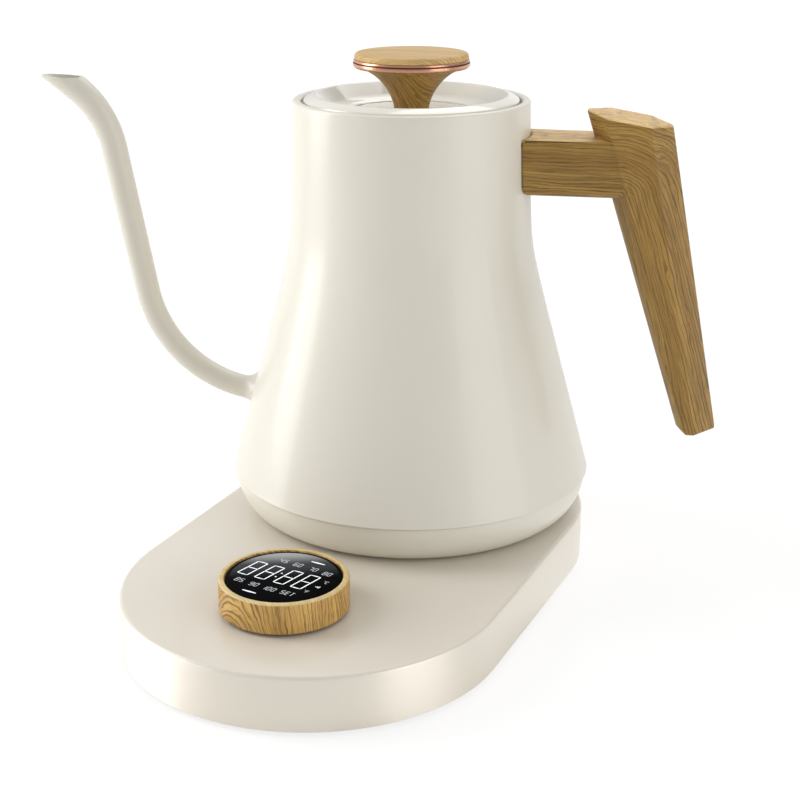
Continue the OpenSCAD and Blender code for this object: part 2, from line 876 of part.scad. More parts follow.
// Near the mouth each ring tips towards level, so that the last one lies flat
tip_lead = 14;
function levelling(p) = pow(max(0, 1 - (spout_tip_h - p[1]) / tip_lead), 2);
function ring_point(p, r, turn) =
    let (rise = r * cos(turn), slip = -levelling(p) * rise * cos(p[2]) / sin(max(p[2], 20)))
    [p[0] - rise * sin(p[2]) + slip * cos(p[2]), r * sin(turn), p[1] + rise * cos(p[2]) + slip * sin(p[2])];
function tube_points(wall) = [
    for (p = spout_line, j = [0 : spout_sides - 1]) ring_point(p, tube_r(p) - wall, 360 * j / spout_sides)
];

// Quads between neighbouring rings of one surface, as triangles
function skin(first, flip) = [
    for (i = [0 : spout_count - 2]) for (j = [0 : spout_sides - 1])
        let (
            a = first + i * spout_sides + j,
            b = first + i * spout_sides + (j + 1) % spout_sides,
            c = a + spout_sides,
            d = b + spout_sides
        )
        each flip ? [[a, c, b], [b, c, d]] : [[a, b, c], [b, d, c]]
];
// The flat ring that closes one end between the two surfaces
function end_ring(outer, inner, flip) = [
    for (j = [0 : spout_sides - 1])
        let (k = (j + 1) % spout_sides, a = outer + j, b = outer + k, c = inner + j, d = inner + k)
        each flip ? [[a, c, b], [b, c, d]] : [[a, b, c], [b, d, c]]
];

// The spout leaves the side opposite the handle
module spout_place() {
    rotate([0, 0, 180]) children();
}

// The hole in the shell that the spout's root passes through
module spout_root_cut() {
    reach = 12;
    translate([root_point[0], 0, root_point[1]]) rotate([0, 90 - spout_root_deg, 0])
        disc(spout_root_r + spout_flare + 2 * seat, -reach, reach);
}

module spout_tube() {
    inner_first = spout_count * spout_sides;
    last = (spout_count - 1) * spout_sides;
    on_dock() color("ivory") spout_place() polyhedron(
        points = concat(tube_points(0), tube_points(spout_wall)),
        faces = concat(
            skin(0, false), skin(inner_first, true),
            end_ring(0, inner_first, true), end_ring(last, inner_first + last, false)
        )
    );
}

// ---------- handle ----------

// One end of the grip: an octagon with its long side across, lying on a line that starts
// at [x, h], runs for a length and falls by an angle
function grip_end(x, h, length, fall, width, inner) =
    let (ridge = grip_ridge / 2, half = width / 2, outer = length - grip_outer_bevel)
    [
        for (p = [
            [0, ridge], [inner, half], [outer, half], [length, ridge],
            [length, -ridge], [outer, -half], [inner, -half], [0, -ridge]
        ]) [x + p[0] * cos(fall), p[1], h - p[0] * sin(fall)]
    ];

module grip() {
    top = grip_end(beak_x, beak_h, grip_top, grip_top_deg, grip_w_top, grip_inner_bevel);
    foot = grip_end(grip_foot_x, grip_foot_h, grip_foot, 0, grip_w_foot, grip_foot_bevel);
    sides = len(top);
    polyhedron(
        points = concat(top, foot),
        faces = concat(
            [[for (i = [0 : sides - 1]) i]],
            [[for (i = [0 : sides - 1]) 2 * sides - 1 - i]],
            [
                for (i = [0 : sides - 1])
                    let (k = (i + 1) % sides, a = sides + i, b = sides + k)
                    each [[i, a, k], [k, a, b]]
            ]
        )
    );
}

// The arm's section: a rectangle with bevelled corners, drawn across and up
module arm_section() {
    w = arm_w / 2;
    polygon([
        [-w + arm_bevel, 0], [w - arm_bevel, 0], [w, arm_bevel], [w, arm_h - arm_top_bevel],
        [w - arm_top_bevel, arm_h], [-w + arm_top_bevel, arm_h], [-w, arm_h - arm_top_bevel], [-w, arm_bevel]
    ]);
}

module handle() {
    screw_low = arm_top_h - arm_h;
    on_dock() color("peru") difference() {
        union() {
            grip();
            translate([0, 0, arm_top_h - arm_h]) rotate([90, 0, 90]) linear_extrude(arm_end_x) arm_section();
        }
        shell_solid(seat * 2);
        translate([0, -tongue_w / 2 - seat, arm_mid_h - tongue_h / 2 - seat])
            cube([neck_r + tongue_l + seat, tongue_w + 2 * seat, tongue_h + 2 * seat]);
        translate([handle_screw_x, 0, screw_low]) screw_hole(arm_h / 2);
    }
}

// Steel tongue welded to the shell, inside the arm
module handle_bracket() {
    on_dock() color("silver") difference() {
        translate([0, -tongue_w / 2, arm_mid_h - tongue_h / 2]) cube([neck_r + tongue_l, tongue_w, tongue_h]);
        shell_solid(seat);
        translate([handle_screw_x, 0, 0]) cylinder(r = screw_r + seat, h = arm_top_h);
    }
}

module handle_screw() {
    on_dock() color("silver") translate([handle_screw_x, 0, arm_top_h - arm_h]) screw(arm_h / 2);
}

// ---------- lid and knob ----------

module lid_cover() {
    low = ledge_h + gap;
    bead = 0.6;
    top_line = [
        [lid_r, low], [lid_r, kettle_h - 0.4], [lid_r - 0.4, kettle_h],
        [brim_in_r + 0.6, brim_h - 0.1], [brim_in_r - 0.6, brim_h - 0.3],
        [dish_r + 1, dish_h + 0.4], [dish_r, dish_h],
        [bead_r + bead, dish_h], [bead_r, dish_h + bead], [bead_r - bead, dish_h], [screw_r + seat, dish_h]
    ];
    under_line = [
        [screw_r + seat, dish_h - lid_wall], [dish_r + 0.3, dish_h - lid_wall],
        [brim_in_r, brim_h - 0.3 - lid_wall], [lid_r - lid_wall, kettle_h - lid_wall], [lid_r - lid_wall, low]
    ];
    on_dock() color("ivory") rotate_extrude() polygon(concat(top_line, under_line));
}

// Inner cup of the lid, with steam holes round its floor and a post for the knob's screw
module lid_liner() {
    floor_top = liner_low + lid_wall;
    skirt_top = ledge_h + 0.6;
    on_dock() color("silver") difference() {
        union() {
            disc(liner_r, liner_low, skirt_top, liner_r - lid_wall);
            disc(liner_r - lid_wall / 2, liner_low, floor_top);
            disc(screw_r + liner_boss_wall, liner_low, dish_h - lid_wall - seat);
        }
        translate([0, 0, liner_low]) screw_hole(2 * liner_depth);
        for (i = [0 : steam_holes - 1]) rotate([0, 0, 360 * i / steam_holes])
            translate([liner_r - steam_inset, 0, 0]) disc(steam_r, liner_low - over, floor_top + over);
    }
}

module lid_gasket() {
    inner = liner_r + seat;
    outer = mouth_r - gap;
    low = ledge_h - collar_depth + 1;
    rib = 1.2;
    steps = 3;
    ribs = [for (i = [0 : steps - 1]) each [
        [outer - 0.5, low + i * 2 * rib], [outer, low + i * 2 * rib + rib / 2],
        [outer, low + i * 2 * rib + rib], [outer - 0.5, low + i * 2 * rib + rib * 1.5]
    ]];
    on_dock() color("whitesmoke") rotate_extrude() polygon(concat(
        [[inner, low]], ribs, [[inner, low + steps * 2 * rib - rib / 2]]
    ));
}

// Concave flare from the stem out to the ring: a quarter of a superellipse
function flare_point(t) = [
    flare_r - (flare_r - stem_r) * pow(cos(t), 2 / flare_shape),
    dish_h + flare_h * pow(sin(t), 2 / flare_shape)
];

module knob_stem() {
    bore = screw_r + seat;
    spigot_r = knob_in_r - seat;
    deep = dish_h + knob_screw_l + over;
    on_dock() color("peru") rotate_extrude() polygon(concat(
        [[bore, dish_h + seat], [stem_r, dish_h + seat]],
        [for (t = [8 : 7 : 85]) flare_point(t)],
        [
            [flare_r, knob_z], [flare_r, ring_z - seat], [spigot_r, ring_z - seat], [spigot_r, cap_z - seat],
            [0, cap_z - seat], [0, deep], [bore, deep]
        ]
    ));
}

module knob_ring() {
    mid = ring_h / 2 + 0.3;
    groove = 0.35;
    on_dock() color("#c87f5a") rotate_extrude() polygon([
        [knob_in_r, ring_z], [ring_r - 0.5, ring_z], [ring_r, ring_z + 0.5], [ring_r, ring_z + mid - groove],
        [ring_r - ring_groove, ring_z + mid - groove / 2], [ring_r - ring_groove, ring_z + mid + groove / 2],
        [ring_r - 0.1, ring_z + mid + groove], [ring_r - 0.4, ring_z + ring_h], [knob_in_r, ring_z + ring_h]
    ]);
}

module knob_cap() {
    edge = 1.4;
    on_dock() color("peru") rotate_extrude() polygon(concat(
        [[0, cap_z], [cap_r, cap_z]],
        [for (a = [0 : 15 : 75]) [cap_r - edge + edge * cos(a), cap_z + cap_h - 0.7 - edge + edge * sin(a)]],
        [[cap_r * 0.8, cap_z + cap_h - 0.35], [cap_r * 0.45, cap_z + cap_h - 0.08], [0, cap_z + cap_h]]
    ));
}

module knob_screw() {
    shank = dish_h + knob_screw_l - liner_low - screw_head_h;
    on_dock() color("silver") translate([0, 0, liner_low]) screw(shank);
}

base_cover();
base_bottom();
base_feet();
base_screws();
base_connector();
base_contacts();
power_board();
power_relay();
power_transformer();
power_capacitor();
power_terminals();
control_board();
press_switch();
dial_guide();
inlet_bush();
dial_carrier();
dial_display();
dial_lens();
dial_ring();
kettle_socket();
kettle_contacts();
kettle_shell();
vessel_floor();
heat_spreader();
heating_element();
element_terminals();
dry_boil_cutout();
temperature_probe();
probe_seal();
bottom_cover();
bottom_screws();
spout_tube();
handle_bracket();
handle();
handle_screw();
lid_cover();
lid_liner();
lid_gasket();
knob_stem();
knob_ring();
knob_cap();
knob_screw();
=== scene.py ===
# %% [markdown]
# # An electric gooseneck kettle on its display base
# The kettle is a steel cone with a cream lacquer, an oak handle and an oak knob with a copper band.
# It stands on a stadium-shaped base whose dial turns and presses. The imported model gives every
# piece its place, and this file gives the pieces that show their final form and finish.

# %% Load the frame
from math import cos, hypot, pi, radians, sin, sqrt

import bmesh
import bpy
from mathutils import Matrix, Vector


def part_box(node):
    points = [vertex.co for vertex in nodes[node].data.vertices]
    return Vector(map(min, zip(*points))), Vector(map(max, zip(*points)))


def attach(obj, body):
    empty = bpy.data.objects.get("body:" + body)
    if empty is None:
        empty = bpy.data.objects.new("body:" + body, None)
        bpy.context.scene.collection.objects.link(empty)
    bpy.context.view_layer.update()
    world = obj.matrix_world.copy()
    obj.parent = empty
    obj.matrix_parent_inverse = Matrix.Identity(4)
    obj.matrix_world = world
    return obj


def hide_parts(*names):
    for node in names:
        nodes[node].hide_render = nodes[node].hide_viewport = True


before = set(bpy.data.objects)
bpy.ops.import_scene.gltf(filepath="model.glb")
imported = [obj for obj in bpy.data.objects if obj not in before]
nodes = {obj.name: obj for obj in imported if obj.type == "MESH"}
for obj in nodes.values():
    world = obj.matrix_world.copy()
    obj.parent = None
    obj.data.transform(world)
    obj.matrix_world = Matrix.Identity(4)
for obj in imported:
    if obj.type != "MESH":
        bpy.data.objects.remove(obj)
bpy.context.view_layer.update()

MM = 0.001

# %% [markdown]
# ## Sizes
# Levels and radii come from the nodes' own boxes where a box can give them. The rest repeat the
# values that the solids are drawn with, in millimetres. Kettle heights are counted from the
# kettle's underside, and base heights from the table.

# %% Measure the nodes
BASE_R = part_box("base_cover")[1].x / MM
BASE_RUN = -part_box("base_cover")[0].y / MM - BASE_R
BASE_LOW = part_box("base_cover")[0].z / MM
BASE_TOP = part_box("base_cover")[1].z / MM
KETTLE_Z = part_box("bottom_cover")[0].z / MM
RIM_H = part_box("kettle_shell")[1].z / MM - KETTLE_Z
SEAM_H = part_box("kettle_shell")[0].z / MM - KETTLE_Z
DIAL_Y = (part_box("dial_ring")[0].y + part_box("dial_ring")[1].y) / 2 / MM
DIAL_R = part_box("dial_ring")[1].x / MM
DIAL_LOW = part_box("dial_ring")[0].z / MM
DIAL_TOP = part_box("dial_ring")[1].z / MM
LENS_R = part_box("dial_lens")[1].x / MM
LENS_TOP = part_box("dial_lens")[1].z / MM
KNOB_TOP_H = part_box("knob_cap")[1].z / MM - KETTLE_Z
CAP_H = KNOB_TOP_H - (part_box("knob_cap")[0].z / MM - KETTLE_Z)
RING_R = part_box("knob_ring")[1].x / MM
KETTLE_TURN = 14
print(f"base: radius {BASE_R:.1f}, run {BASE_RUN:.1f}; rim at {RIM_H:.1f}")
print(f"dial: y {DIAL_Y:.1f}, radius {DIAL_R:.1f}")

# %% [markdown]
# ## Helpers for modelling
# Every operator acts on what is selected, so each piece starts with nothing selected. Faces, edges
# and vertices are then chosen by their place.


# %% Selecting and finishing a piece
def deselect():
    """Leaves edit mode and selects nothing."""
    if bpy.context.mode != "OBJECT":
        bpy.ops.object.mode_set(mode="OBJECT")
    bpy.ops.object.select_all(action="DESELECT")


def choose(kind, test):
    """In edit mode, selects the verts, edges or faces that pass a test, and says how many."""
    mesh = bpy.context.edit_object.data
    bpy.context.tool_settings.mesh_select_mode = (kind == "verts", kind == "edges", kind == "faces")
    bpy.ops.mesh.select_all(action="DESELECT")
    shape = bmesh.from_edit_mesh(mesh)
    shape.faces.ensure_lookup_table()
    chosen = [part for part in getattr(shape, kind) if test(part)]
    for part in chosen:
        part.select_set(True)
    shape.select_flush_mode()
    bmesh.update_edit_mesh(mesh)
    return len(chosen)


def apply_all(piece):
    """Bakes a piece's place and modifiers into its mesh."""
    deselect()
    piece.select_set(True)
    bpy.context.view_layer.objects.active = piece
    bpy.ops.object.transform_apply(location=True, rotation=True, scale=True)
    for modifier in list(piece.modifiers):
        bpy.ops.object.modifier_apply(modifier=modifier.name)


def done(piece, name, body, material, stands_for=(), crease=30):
    """Names a finished piece, gives it its material and lets it ride on its body."""
    apply_all(piece)
    bpy.ops.object.shade_smooth_by_angle(angle=radians(crease))
    piece.name = piece.data.name = name
    if not piece.data.materials:
        piece.data.materials.append(material)
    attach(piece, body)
    if stands_for:
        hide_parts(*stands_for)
    print(f"{name}: {len(piece.data.polygons)} faces")


LOOKS_UP = 0.6


def two_tone(piece, first, second, wants_second):
    """Gives a piece two materials, the second one on the faces that pass a test."""
    piece.data.materials.append(first)
    piece.data.materials.append(second)
    for face in piece.data.polygons:
        face.material_index = 1 if wants_second(face) else 0


def looks_up(face):
    return face.normal.z > LOOKS_UP


# %% [markdown]
# ## The lathe
# Most of a kettle is turned or spun. An outline is drawn as a chain of edges, its corners are
# rounded with a vertex bevel, and the chain is spun about the axis. A corner is a radius, a
# height and, where it is soft, a rounding.


# %% Drawing and spinning an outline
TURN_STEPS = 192
BEVEL_STEPS = 6
SAME_PLACE = 1e-3
WELD = 2e-3


def draw(outline, centre=(0, 0)):
    """Draws an outline's edges by pulling one vertex from corner to corner."""
    deselect()
    bpy.ops.mesh.primitive_plane_add(size=MM)
    bpy.ops.object.mode_set(mode="EDIT")
    bpy.ops.mesh.select_mode(type="VERT")
    bpy.ops.mesh.merge(type="CENTER")
    places = [Vector((centre[0] + corner[0], centre[1], corner[1])) * MM for corner in outline]
    bpy.ops.transform.translate(value=places[0])
    for here, there in zip(places, places[1:]):
        bpy.ops.mesh.extrude_region_move(TRANSFORM_OT_translate={"value": there - here})
    roundings = [corner[2] if len(corner) > 2 else 0 for corner in outline]
    for size in sorted(set(roundings) - {0}):
        soft = [place for place, rounding in zip(places, roundings) if rounding == size]
        choose("verts", lambda v: any((v.co - place).length < SAME_PLACE * MM for place in soft))
        bpy.ops.mesh.bevel(affect="VERTICES", offset=size * MM, segments=BEVEL_STEPS)
    return bpy.context.edit_object


def lathe(outline, centre=(0, 0)):
    """Spins a closed outline about the upright axis through a centre."""
    piece = draw(list(outline) + [outline[0][:2]], centre)
    bpy.ops.mesh.select_all(action="SELECT")
    axis_at = (centre[0] * MM, centre[1] * MM, 0)
    bpy.ops.mesh.spin(steps=TURN_STEPS, angle=2 * pi, center=axis_at, axis=(0, 0, 1))
    bpy.ops.mesh.select_all(action="SELECT")
    bpy.ops.mesh.remove_doubles(threshold=WELD * MM)
    bpy.ops.mesh.normals_make_consistent(inside=False)
    deselect()
    return piece


def arc(r, h, radius, start, stop, steps=8):
    """Points of an arc about (r, h), from one angle to another, counted from the outward direction."""
    turns = [radians(start + (stop - start) * i / steps) for i in range(steps + 1)]
    return [(r + radius * cos(turn), h + radius * sin(turn)) for turn in turns]


def raised(outline, lift):
    """An outline with every height lifted."""
    return [(corner[0], corner[1] + lift, *corner[2:]) for corner in outline]


BORE_SIDES = 64


def bore(piece, radius, place, depth, turn=(0, 0, 0)):
    """Cuts a round hole, as deep as said in all, whose middle is at a place in millimetres."""
    deselect()
    where = [value * MM for value in place]
    bpy.ops.mesh.primitive_cylinder_add(
        vertices=BORE_SIDES, radius=radius * MM, depth=depth * MM, location=where, rotation=turn
    )
    cutter = bpy.context.object
    cut = piece.modifiers.new("bore", "BOOLEAN")
    cut.object = cutter
    cut.solver = "EXACT"
    deselect()
    piece.select_set(True)
    bpy.context.view_layer.objects.active = piece
    bpy.ops.object.modifier_apply(modifier=cut.name)
    bpy.data.objects.remove(cutter)


# %% [markdown]
# ## Helpers for finishes
# A finish is a node tree. `Wire` stands for one socket in it, and Python's operators on wires add
# the Math nodes, so a pattern reads like a formula. `Finish` starts a material and adds any other
# node with one method.


# %% A socket that does maths
class Wire:
    """One socket of a finish, which adds Math nodes when it is calculated with."""

    def __init__(self, finish, socket):
        self.finish = finish
        self.socket = socket

    def __add__(self, other):
        return self.finish.maths("ADD", self, other)

    def __sub__(self, other):
        return self.finish.maths("SUBTRACT", self, other)

    def __rsub__(self, other):
        return self.finish.maths("SUBTRACT", other, self)

    def __mul__(self, other):
        return self.finish.maths("MULTIPLY", self, other)

    def __truediv__(self, other):
        return self.finish.maths("DIVIDE", self, other)

    def __pow__(self, other):
        return self.finish.maths("POWER", self, other)

    __radd__ = __add__
    __rmul__ = __mul__


# %% A material and its nodes
def rgb(red, green, blue):
    """A colour as a screen shows it, 0 to 255, turned into the linear values that nodes take."""
    parts = [value / 255 for value in (red, green, blue)]
    return (*[((p + 0.055) / 1.055) ** 2.4 if p > 0.04045 else p / 12.92 for p in parts], 1)


class Finish:
    """A material's node tree, or the world's, with values that stay fixed on its shader."""

    def __init__(self, name, world=None, **fixed):
        self.material = world or bpy.data.materials.new(name)
        self.material.use_nodes = True
        self.tree = self.material.node_tree
        self.shader = self.tree.nodes["Background" if world else "Principled BSDF"]
        for socket, value in fixed.items():
            self.shader.inputs[socket.replace("_", " ")].default_value = value

    def node(self, kind, settings=None, values=None, out=0):
        """Adds a node: its settings are set first, then its sockets get values or links."""
        made = self.tree.nodes.new(kind)
        for name, value in (settings or {}).items():
            if name == "stops":
                ramp = made.color_ramp.elements
                while len(ramp) < len(value):
                    ramp.new(1)
                for stop, (position, colour) in zip(ramp, value):
                    stop.position = position
                    stop.color = colour
            else:
                setattr(made, name, value)
        for name, value in (values or {}).items():
            self.feed(made.inputs[name], value)
        return Wire(self, made.outputs[out])

    def feed(self, socket, value):
        if isinstance(value, Wire):
            self.tree.links.new(value.socket, socket)
        else:
            socket.default_value = value

    def maths(self, operation, first, second=0.0):
        return self.node("ShaderNodeMath", {"operation": operation}, {0: first, 1: second})

    def vector(self, x, y, z):
        return self.node("ShaderNodeCombineXYZ", None, {0: x, 1: y, 2: z})

    def place(self):
        """The point's own x, y and z on the object, as three wires in metres."""
        spot = self.node("ShaderNodeTexCoord", out=3)
        return [self.node("ShaderNodeSeparateXYZ", None, {0: spot}, out=i) for i in range(3)]

    def noise(self, at, scale, detail=3.0, roughness=0.5):
        values = {"Vector": at, "Scale": scale, "Detail": detail, "Roughness": roughness}
        return self.node("ShaderNodeTexNoise", None, values)

    def ramp(self, value, *stops, smooth=False):
        """A ramp from stop to stop, each a position and a shade: a grey from 0 to 1, or a colour."""
        full = [(at, shade if isinstance(shade, tuple) else (shade,) * 3 + (1,)) for at, shade in stops]
        made = self.node("ShaderNodeValToRGB", {"stops": full}, {0: value})
        if smooth:
            made.socket.node.color_ramp.interpolation = "EASE"
        return made

    def mix(self, mask, first, second):
        values = {0: mask, 6: first, 7: second}
        return self.node("ShaderNodeMix", {"data_type": "RGBA"}, values, out=2)

    def bump(self, height, strength, distance):
        values = {"Strength": strength, "Distance": distance, "Height": height}
        self.set(Normal=self.node("ShaderNodeBump", None, values))

    def set(self, **wires):
        for socket, wire in wires.items():
            self.feed(self.shader.inputs[socket.replace("_", " ")], wire)


# %% [markdown]
# ## Lacquer and moulded plastic
# The kettle's lacquer is sprayed on steel: an even cream with a soft gloss, a trace of orange peel
# and the slightest drift in tone. The spout's cream is a shade darker, which is painted shade. The
# base has the same cream with a pearl in it and a clearer coat on top, and round its side the pearl's
# flakes lie flat and stretch the light like metal; its side's cream is also painted lighter than the
# top's, as painted light. All use slow noise for the drift and fine noise, as bump only, for the skin.


# %% Cream lacquers
CREAM = (222, 218, 205)
# The spout's cream, darker than the body's, is painted shade.
SPOUT_PAINTED_SHADE_CREAM = (213, 208, 195)
PEARL = (220, 213, 200)
# The side's pearl, lighter than the top's, is painted light.
PEARL_SIDE_PAINTED_LIGHT = (250, 244, 232)
TONE_DRIFT = 3


def lacquer(name, tone, roughness, coat, peel=0.05, coat_roughness=0.12, **fixed):
    """A sprayed coat: slow noise drifts its tone and gloss, fine noise makes its orange peel."""
    finish = Finish(name, Coat_Roughness=coat_roughness, Coat_IOR=1.5, IOR=1.5, **fixed)
    spot = finish.vector(*finish.place())
    drift = finish.noise(spot, 14, 2.0)
    lighter = tuple(min(255, value + TONE_DRIFT) for value in tone)
    darker = tuple(value - TONE_DRIFT for value in tone)
    finish.set(Base_Color=finish.mix(drift, rgb(*darker), rgb(*lighter)))
    finish.set(Roughness=roughness + (drift - 0.5) * 0.06)
    finish.set(Coat_Weight=coat)
    finish.bump(finish.noise(spot, 900, 2.0), peel, 0.0002)
    return finish.material


cream_lacquer = lacquer("cream_lacquer", CREAM, 0.34, 0.25)
cream_moulding = lacquer("cream_moulding", CREAM, 0.36, 0.2)
pearl_top = lacquer("pearl_top", PEARL, 0.32, 0.5, peel=0.02)
metallic = {"Metallic": 0.75, "Anisotropic": 0.9, "Anisotropic_Rotation": 0.25}
pearl_side_painted_light = lacquer("pearl_side_painted_light", PEARL_SIDE_PAINTED_LIGHT, 0.5, 0.1, peel=0.0, **metallic)
lid_lacquer = lacquer("lid_lacquer", CREAM, 0.2, 1.0, peel=0.01, coat_roughness=0.05)
# The spout's lacquer is darker than the body's: painted shade.
spout_painted_shade_lacquer = lacquer("spout_painted_shade_lacquer", SPOUT_PAINTED_SHADE_CREAM, 0.34, 0.2)
print("lacquers ready")


# %% Dark plastics and rubber
def moulded(name, tone, roughness, grain, strength):
    """Plastic with the fine eroded texture of its mould."""
    finish = Finish(name)
    spot = finish.vector(*finish.place())
    cells = finish.noise(spot, grain, 4.0, 0.6)
    lighter = tuple(min(255, int(value * 1.15) + 3) for value in tone)
    finish.set(Base_Color=finish.mix(cells, rgb(*tone), rgb(*lighter)))
    finish.set(Roughness=roughness + (cells - 0.5) * 0.12)
    finish.bump(cells, strength, 0.0003)
    return finish.material


dark_plastic = moulded("dark_plastic", (52, 51, 50), 0.5, 1600, 0.25)
rubber = moulded("rubber", (36, 36, 36), 0.8, 900, 0.2)
silicone = moulded("silicone", (226, 226, 220), 0.45, 500, 0.1)
blue_case = moulded("blue_case", (40, 66, 120), 0.45, 1200, 0.15)
solder_mask = moulded("solder_mask", (28, 88, 52), 0.35, 300, 0.1)

# %% [markdown]
# ## Metals
# Turned steel shows fine rings round its axis, so its noise runs fast along the radius and the
# height and not at all round the axis. The copper band is polished and only faintly brushed.


# %% Steel, aluminium, brass and copper
def turned_metal(name, tone, roughness, brushing=0.1, rings=2600):
    """Metal with fine rings about the kettle's axis; more brushing makes them rougher."""
    finish = Finish(name, Metallic=1.0)
    x, y, z = finish.place()
    radius = (x * x + y * y) ** 0.5
    grooves = finish.noise(finish.vector(radius, 0.0, z), rings, 3.0, 0.6)
    cloud = finish.noise(finish.vector(x, y, z), 30, 2.0)
    darker = tuple(int(value * 0.93) for value in tone)
    finish.set(Base_Color=finish.mix(cloud, rgb(*darker), rgb(*tone)))
    finish.set(Roughness=roughness + grooves * brushing)
    finish.bump(grooves, brushing, 0.0001)
    return finish.material


steel = turned_metal("turned_steel", (205, 204, 201), 0.24, 0.16)
plain_steel = turned_metal("plain_steel", (196, 197, 198), 0.3, 0.08, rings=900)
element_steel = turned_metal("element_steel", (150, 140, 128), 0.42, 0.1, rings=900)
aluminium = turned_metal("aluminium", (214, 216, 218), 0.38, 0.12)
brass = turned_metal("contact_brass", (218, 186, 110), 0.25, 0.1)
copper = turned_metal("rose_copper", (214, 160, 132), 0.2, 0.08)
# The dark copper is painted shade for the band's groove.
groove_painted_shade_copper = turned_metal("groove_painted_shade_copper", (92, 58, 44), 0.4, 0.1)
print("metals ready")

# %% [markdown]
# ## Oak
# Grain is what is left of the tree's rings where a surface cuts them. Each wooden piece gives the
# finish a distance across the grain, a place along it and one sideways. That distance wanders a
# little with two noises, and a wave along it makes the late wood of each ring, strong in some
# patches and faint in others. Noise that is stretched along the grain adds soft bands, dark
# streaks and the short dark dashes of the pores.


# %% The oak finish
OAK = ((190, 150, 70), (158, 118, 46), (52, 30, 6))
PALE_OAK = ((224, 190, 126), (204, 166, 98), (132, 92, 42))
DIAL_OAK = ((206, 168, 96), (178, 138, 70), (78, 46, 14))
# The dial's upward faces take these paler tones: painted light from above.
DIAL_TOP_PAINTED_LIGHT = ((228, 208, 156), (208, 184, 128), (140, 108, 60))


def oak(name, grain, tones=OAK, spacing=1.0, contrast=1.0, tint=1.0):
    """Oak whose across, along and sideways distances, in metres, come from grain(finish)."""
    finish = Finish(name, Coat_Roughness=0.3)
    across, along, side = grain(finish)
    wander = finish.noise(finish.vector(across * 90, along * 16, side * 40), 1.0, 3.0)
    ripple = finish.noise(finish.vector(across * 500, along * 70, side * 120), 1.0, 2.0)
    depth = across * (1000 / spacing) + wander * 6.0 + ripple * 1.6
    slow = finish.noise(finish.vector(depth * 0.3, along * 9, side * 40), 1.0, 3.0, 0.55)
    clusters = finish.noise(finish.vector(depth * 0.12, along * 14, side * 30), 1.0, 2.0)
    patches = finish.ramp(clusters, (0.35, 0.25), (0.65, 1.0))
    wave = finish.maths("SINE", depth * 4.6) * 0.5 + 0.5
    late = finish.ramp(wave, (0.66, 0.0), (0.99, 1.0)) * patches
    streaks = finish.noise(finish.vector(depth * 2.4, along * 30, side * 90), 1.0, 5.0, 0.65)
    dark_lines = finish.ramp(streaks, (0.5, 0.0), (0.64, 1.0))
    dashes = finish.noise(finish.vector(depth * 6.0, along * 110, side * 500), 1.0, 3.0, 0.7)
    pores = finish.ramp(dashes, (0.53, 0.0), (0.67, 1.0))
    light, mid, dark = [rgb(*[value * tint for value in tone]) for tone in tones]
    ground = finish.mix(finish.ramp(slow, (0.3, 0.0), (0.7, 1.0)), light, mid)
    lined = finish.mix(late * 0.72 * contrast, ground, dark)
    streaked = finish.mix(dark_lines * 0.55 * contrast, lined, dark)
    finish.set(Base_Color=finish.mix(pores * 0.5 * contrast, streaked, dark))
    finish.set(Roughness=0.5 + pores * 0.2 - late * 0.05)
    finish.set(Coat_Weight=0.06)
    finish.bump(1.0 - pores * 0.6 - dark_lines * 0.3, 0.25, 0.0002)
    return finish.material


# %% [markdown]
# The handle is cut so that its grain runs out along the arm, round the elbow and down the grip.
# The distance across the grain is therefore the distance to the bent line that the arm's lower
# edge and the grip's inner edge make, and the rings turn about that inside corner.

# %% Grain of each wooden piece
ELBOW_X, ELBOW_Z = 84.0, 159.3
GRIP_LEAN = 17.0
ELBOW_RUN = 24.0


def turned_place(finish):
    """Object coordinates turned back by the kettle's turn, so that x runs out along the arm."""
    x, y, z = finish.place()
    c, s = cos(radians(KETTLE_TURN)), sin(radians(KETTLE_TURN))
    return x * c + y * s, y * c - x * s, z


def handle_grain(finish):
    """Grain that runs out along the arm, round the elbow and down the grip."""
    x, y, z = turned_place(finish)
    out = x - ELBOW_X * MM
    up = z - ELBOW_Z * MM
    lean = radians(GRIP_LEAN)
    down = out * sin(lean) - up * cos(lean)
    over = out * cos(lean) + up * sin(lean)
    beyond_arm = finish.maths("MAXIMUM", out, 0.0)
    above_grip = finish.maths("MAXIMUM", 0.0 - down, 0.0)
    to_arm = (beyond_arm * beyond_arm + up * up) ** 0.5
    to_grip = (above_grip * above_grip + over * over) ** 0.5
    across = finish.maths("MINIMUM", to_arm, to_grip)
    bend = finish.maths("MINIMUM", finish.maths("ARCTAN2", beyond_arm, up), radians(90 - GRIP_LEAN))
    in_arm = finish.maths("MINIMUM", out, 0.0)
    in_grip = finish.maths("MAXIMUM", down, 0.0)
    along = in_arm + bend * (ELBOW_RUN * MM) + in_grip
    return across, along, y


def upright_grain(finish):
    """A stick of wood turned about its own length, as the knob's stem is."""
    x, y, z = finish.place()
    return x * 0.9 + z * 0.35, z - x * 0.2, y


def flat_grain(finish):
    """A disc cut from a board: the grain runs across it."""
    x, y, z = turned_place(finish)
    return y + z * 0.8, x, z * 2.0


HEART_X, HEART_Y = -17.0, DIAL_Y - 52.0
LEAN_LEFT, LEAN_RIGHT = 0.7, 0.16
LEAN_FROM_X, LEAN_RUN = -16.0, 20.0


def dial_grain(finish):
    """A ring turned from an upright block: wavy where the tree's rings run along its wall."""
    x, y, z = finish.place()
    to_x = x - HEART_X * MM
    to_y = y - HEART_Y * MM
    lean = finish.ramp((x - LEAN_FROM_X * MM) / (LEAN_RUN * MM), (0.0, LEAN_LEFT), (1.0, LEAN_RIGHT))
    across = (to_x * to_x + to_y * to_y) ** 0.5 + (z - DIAL_TOP * MM) * lean
    return across, z * 1.6, x


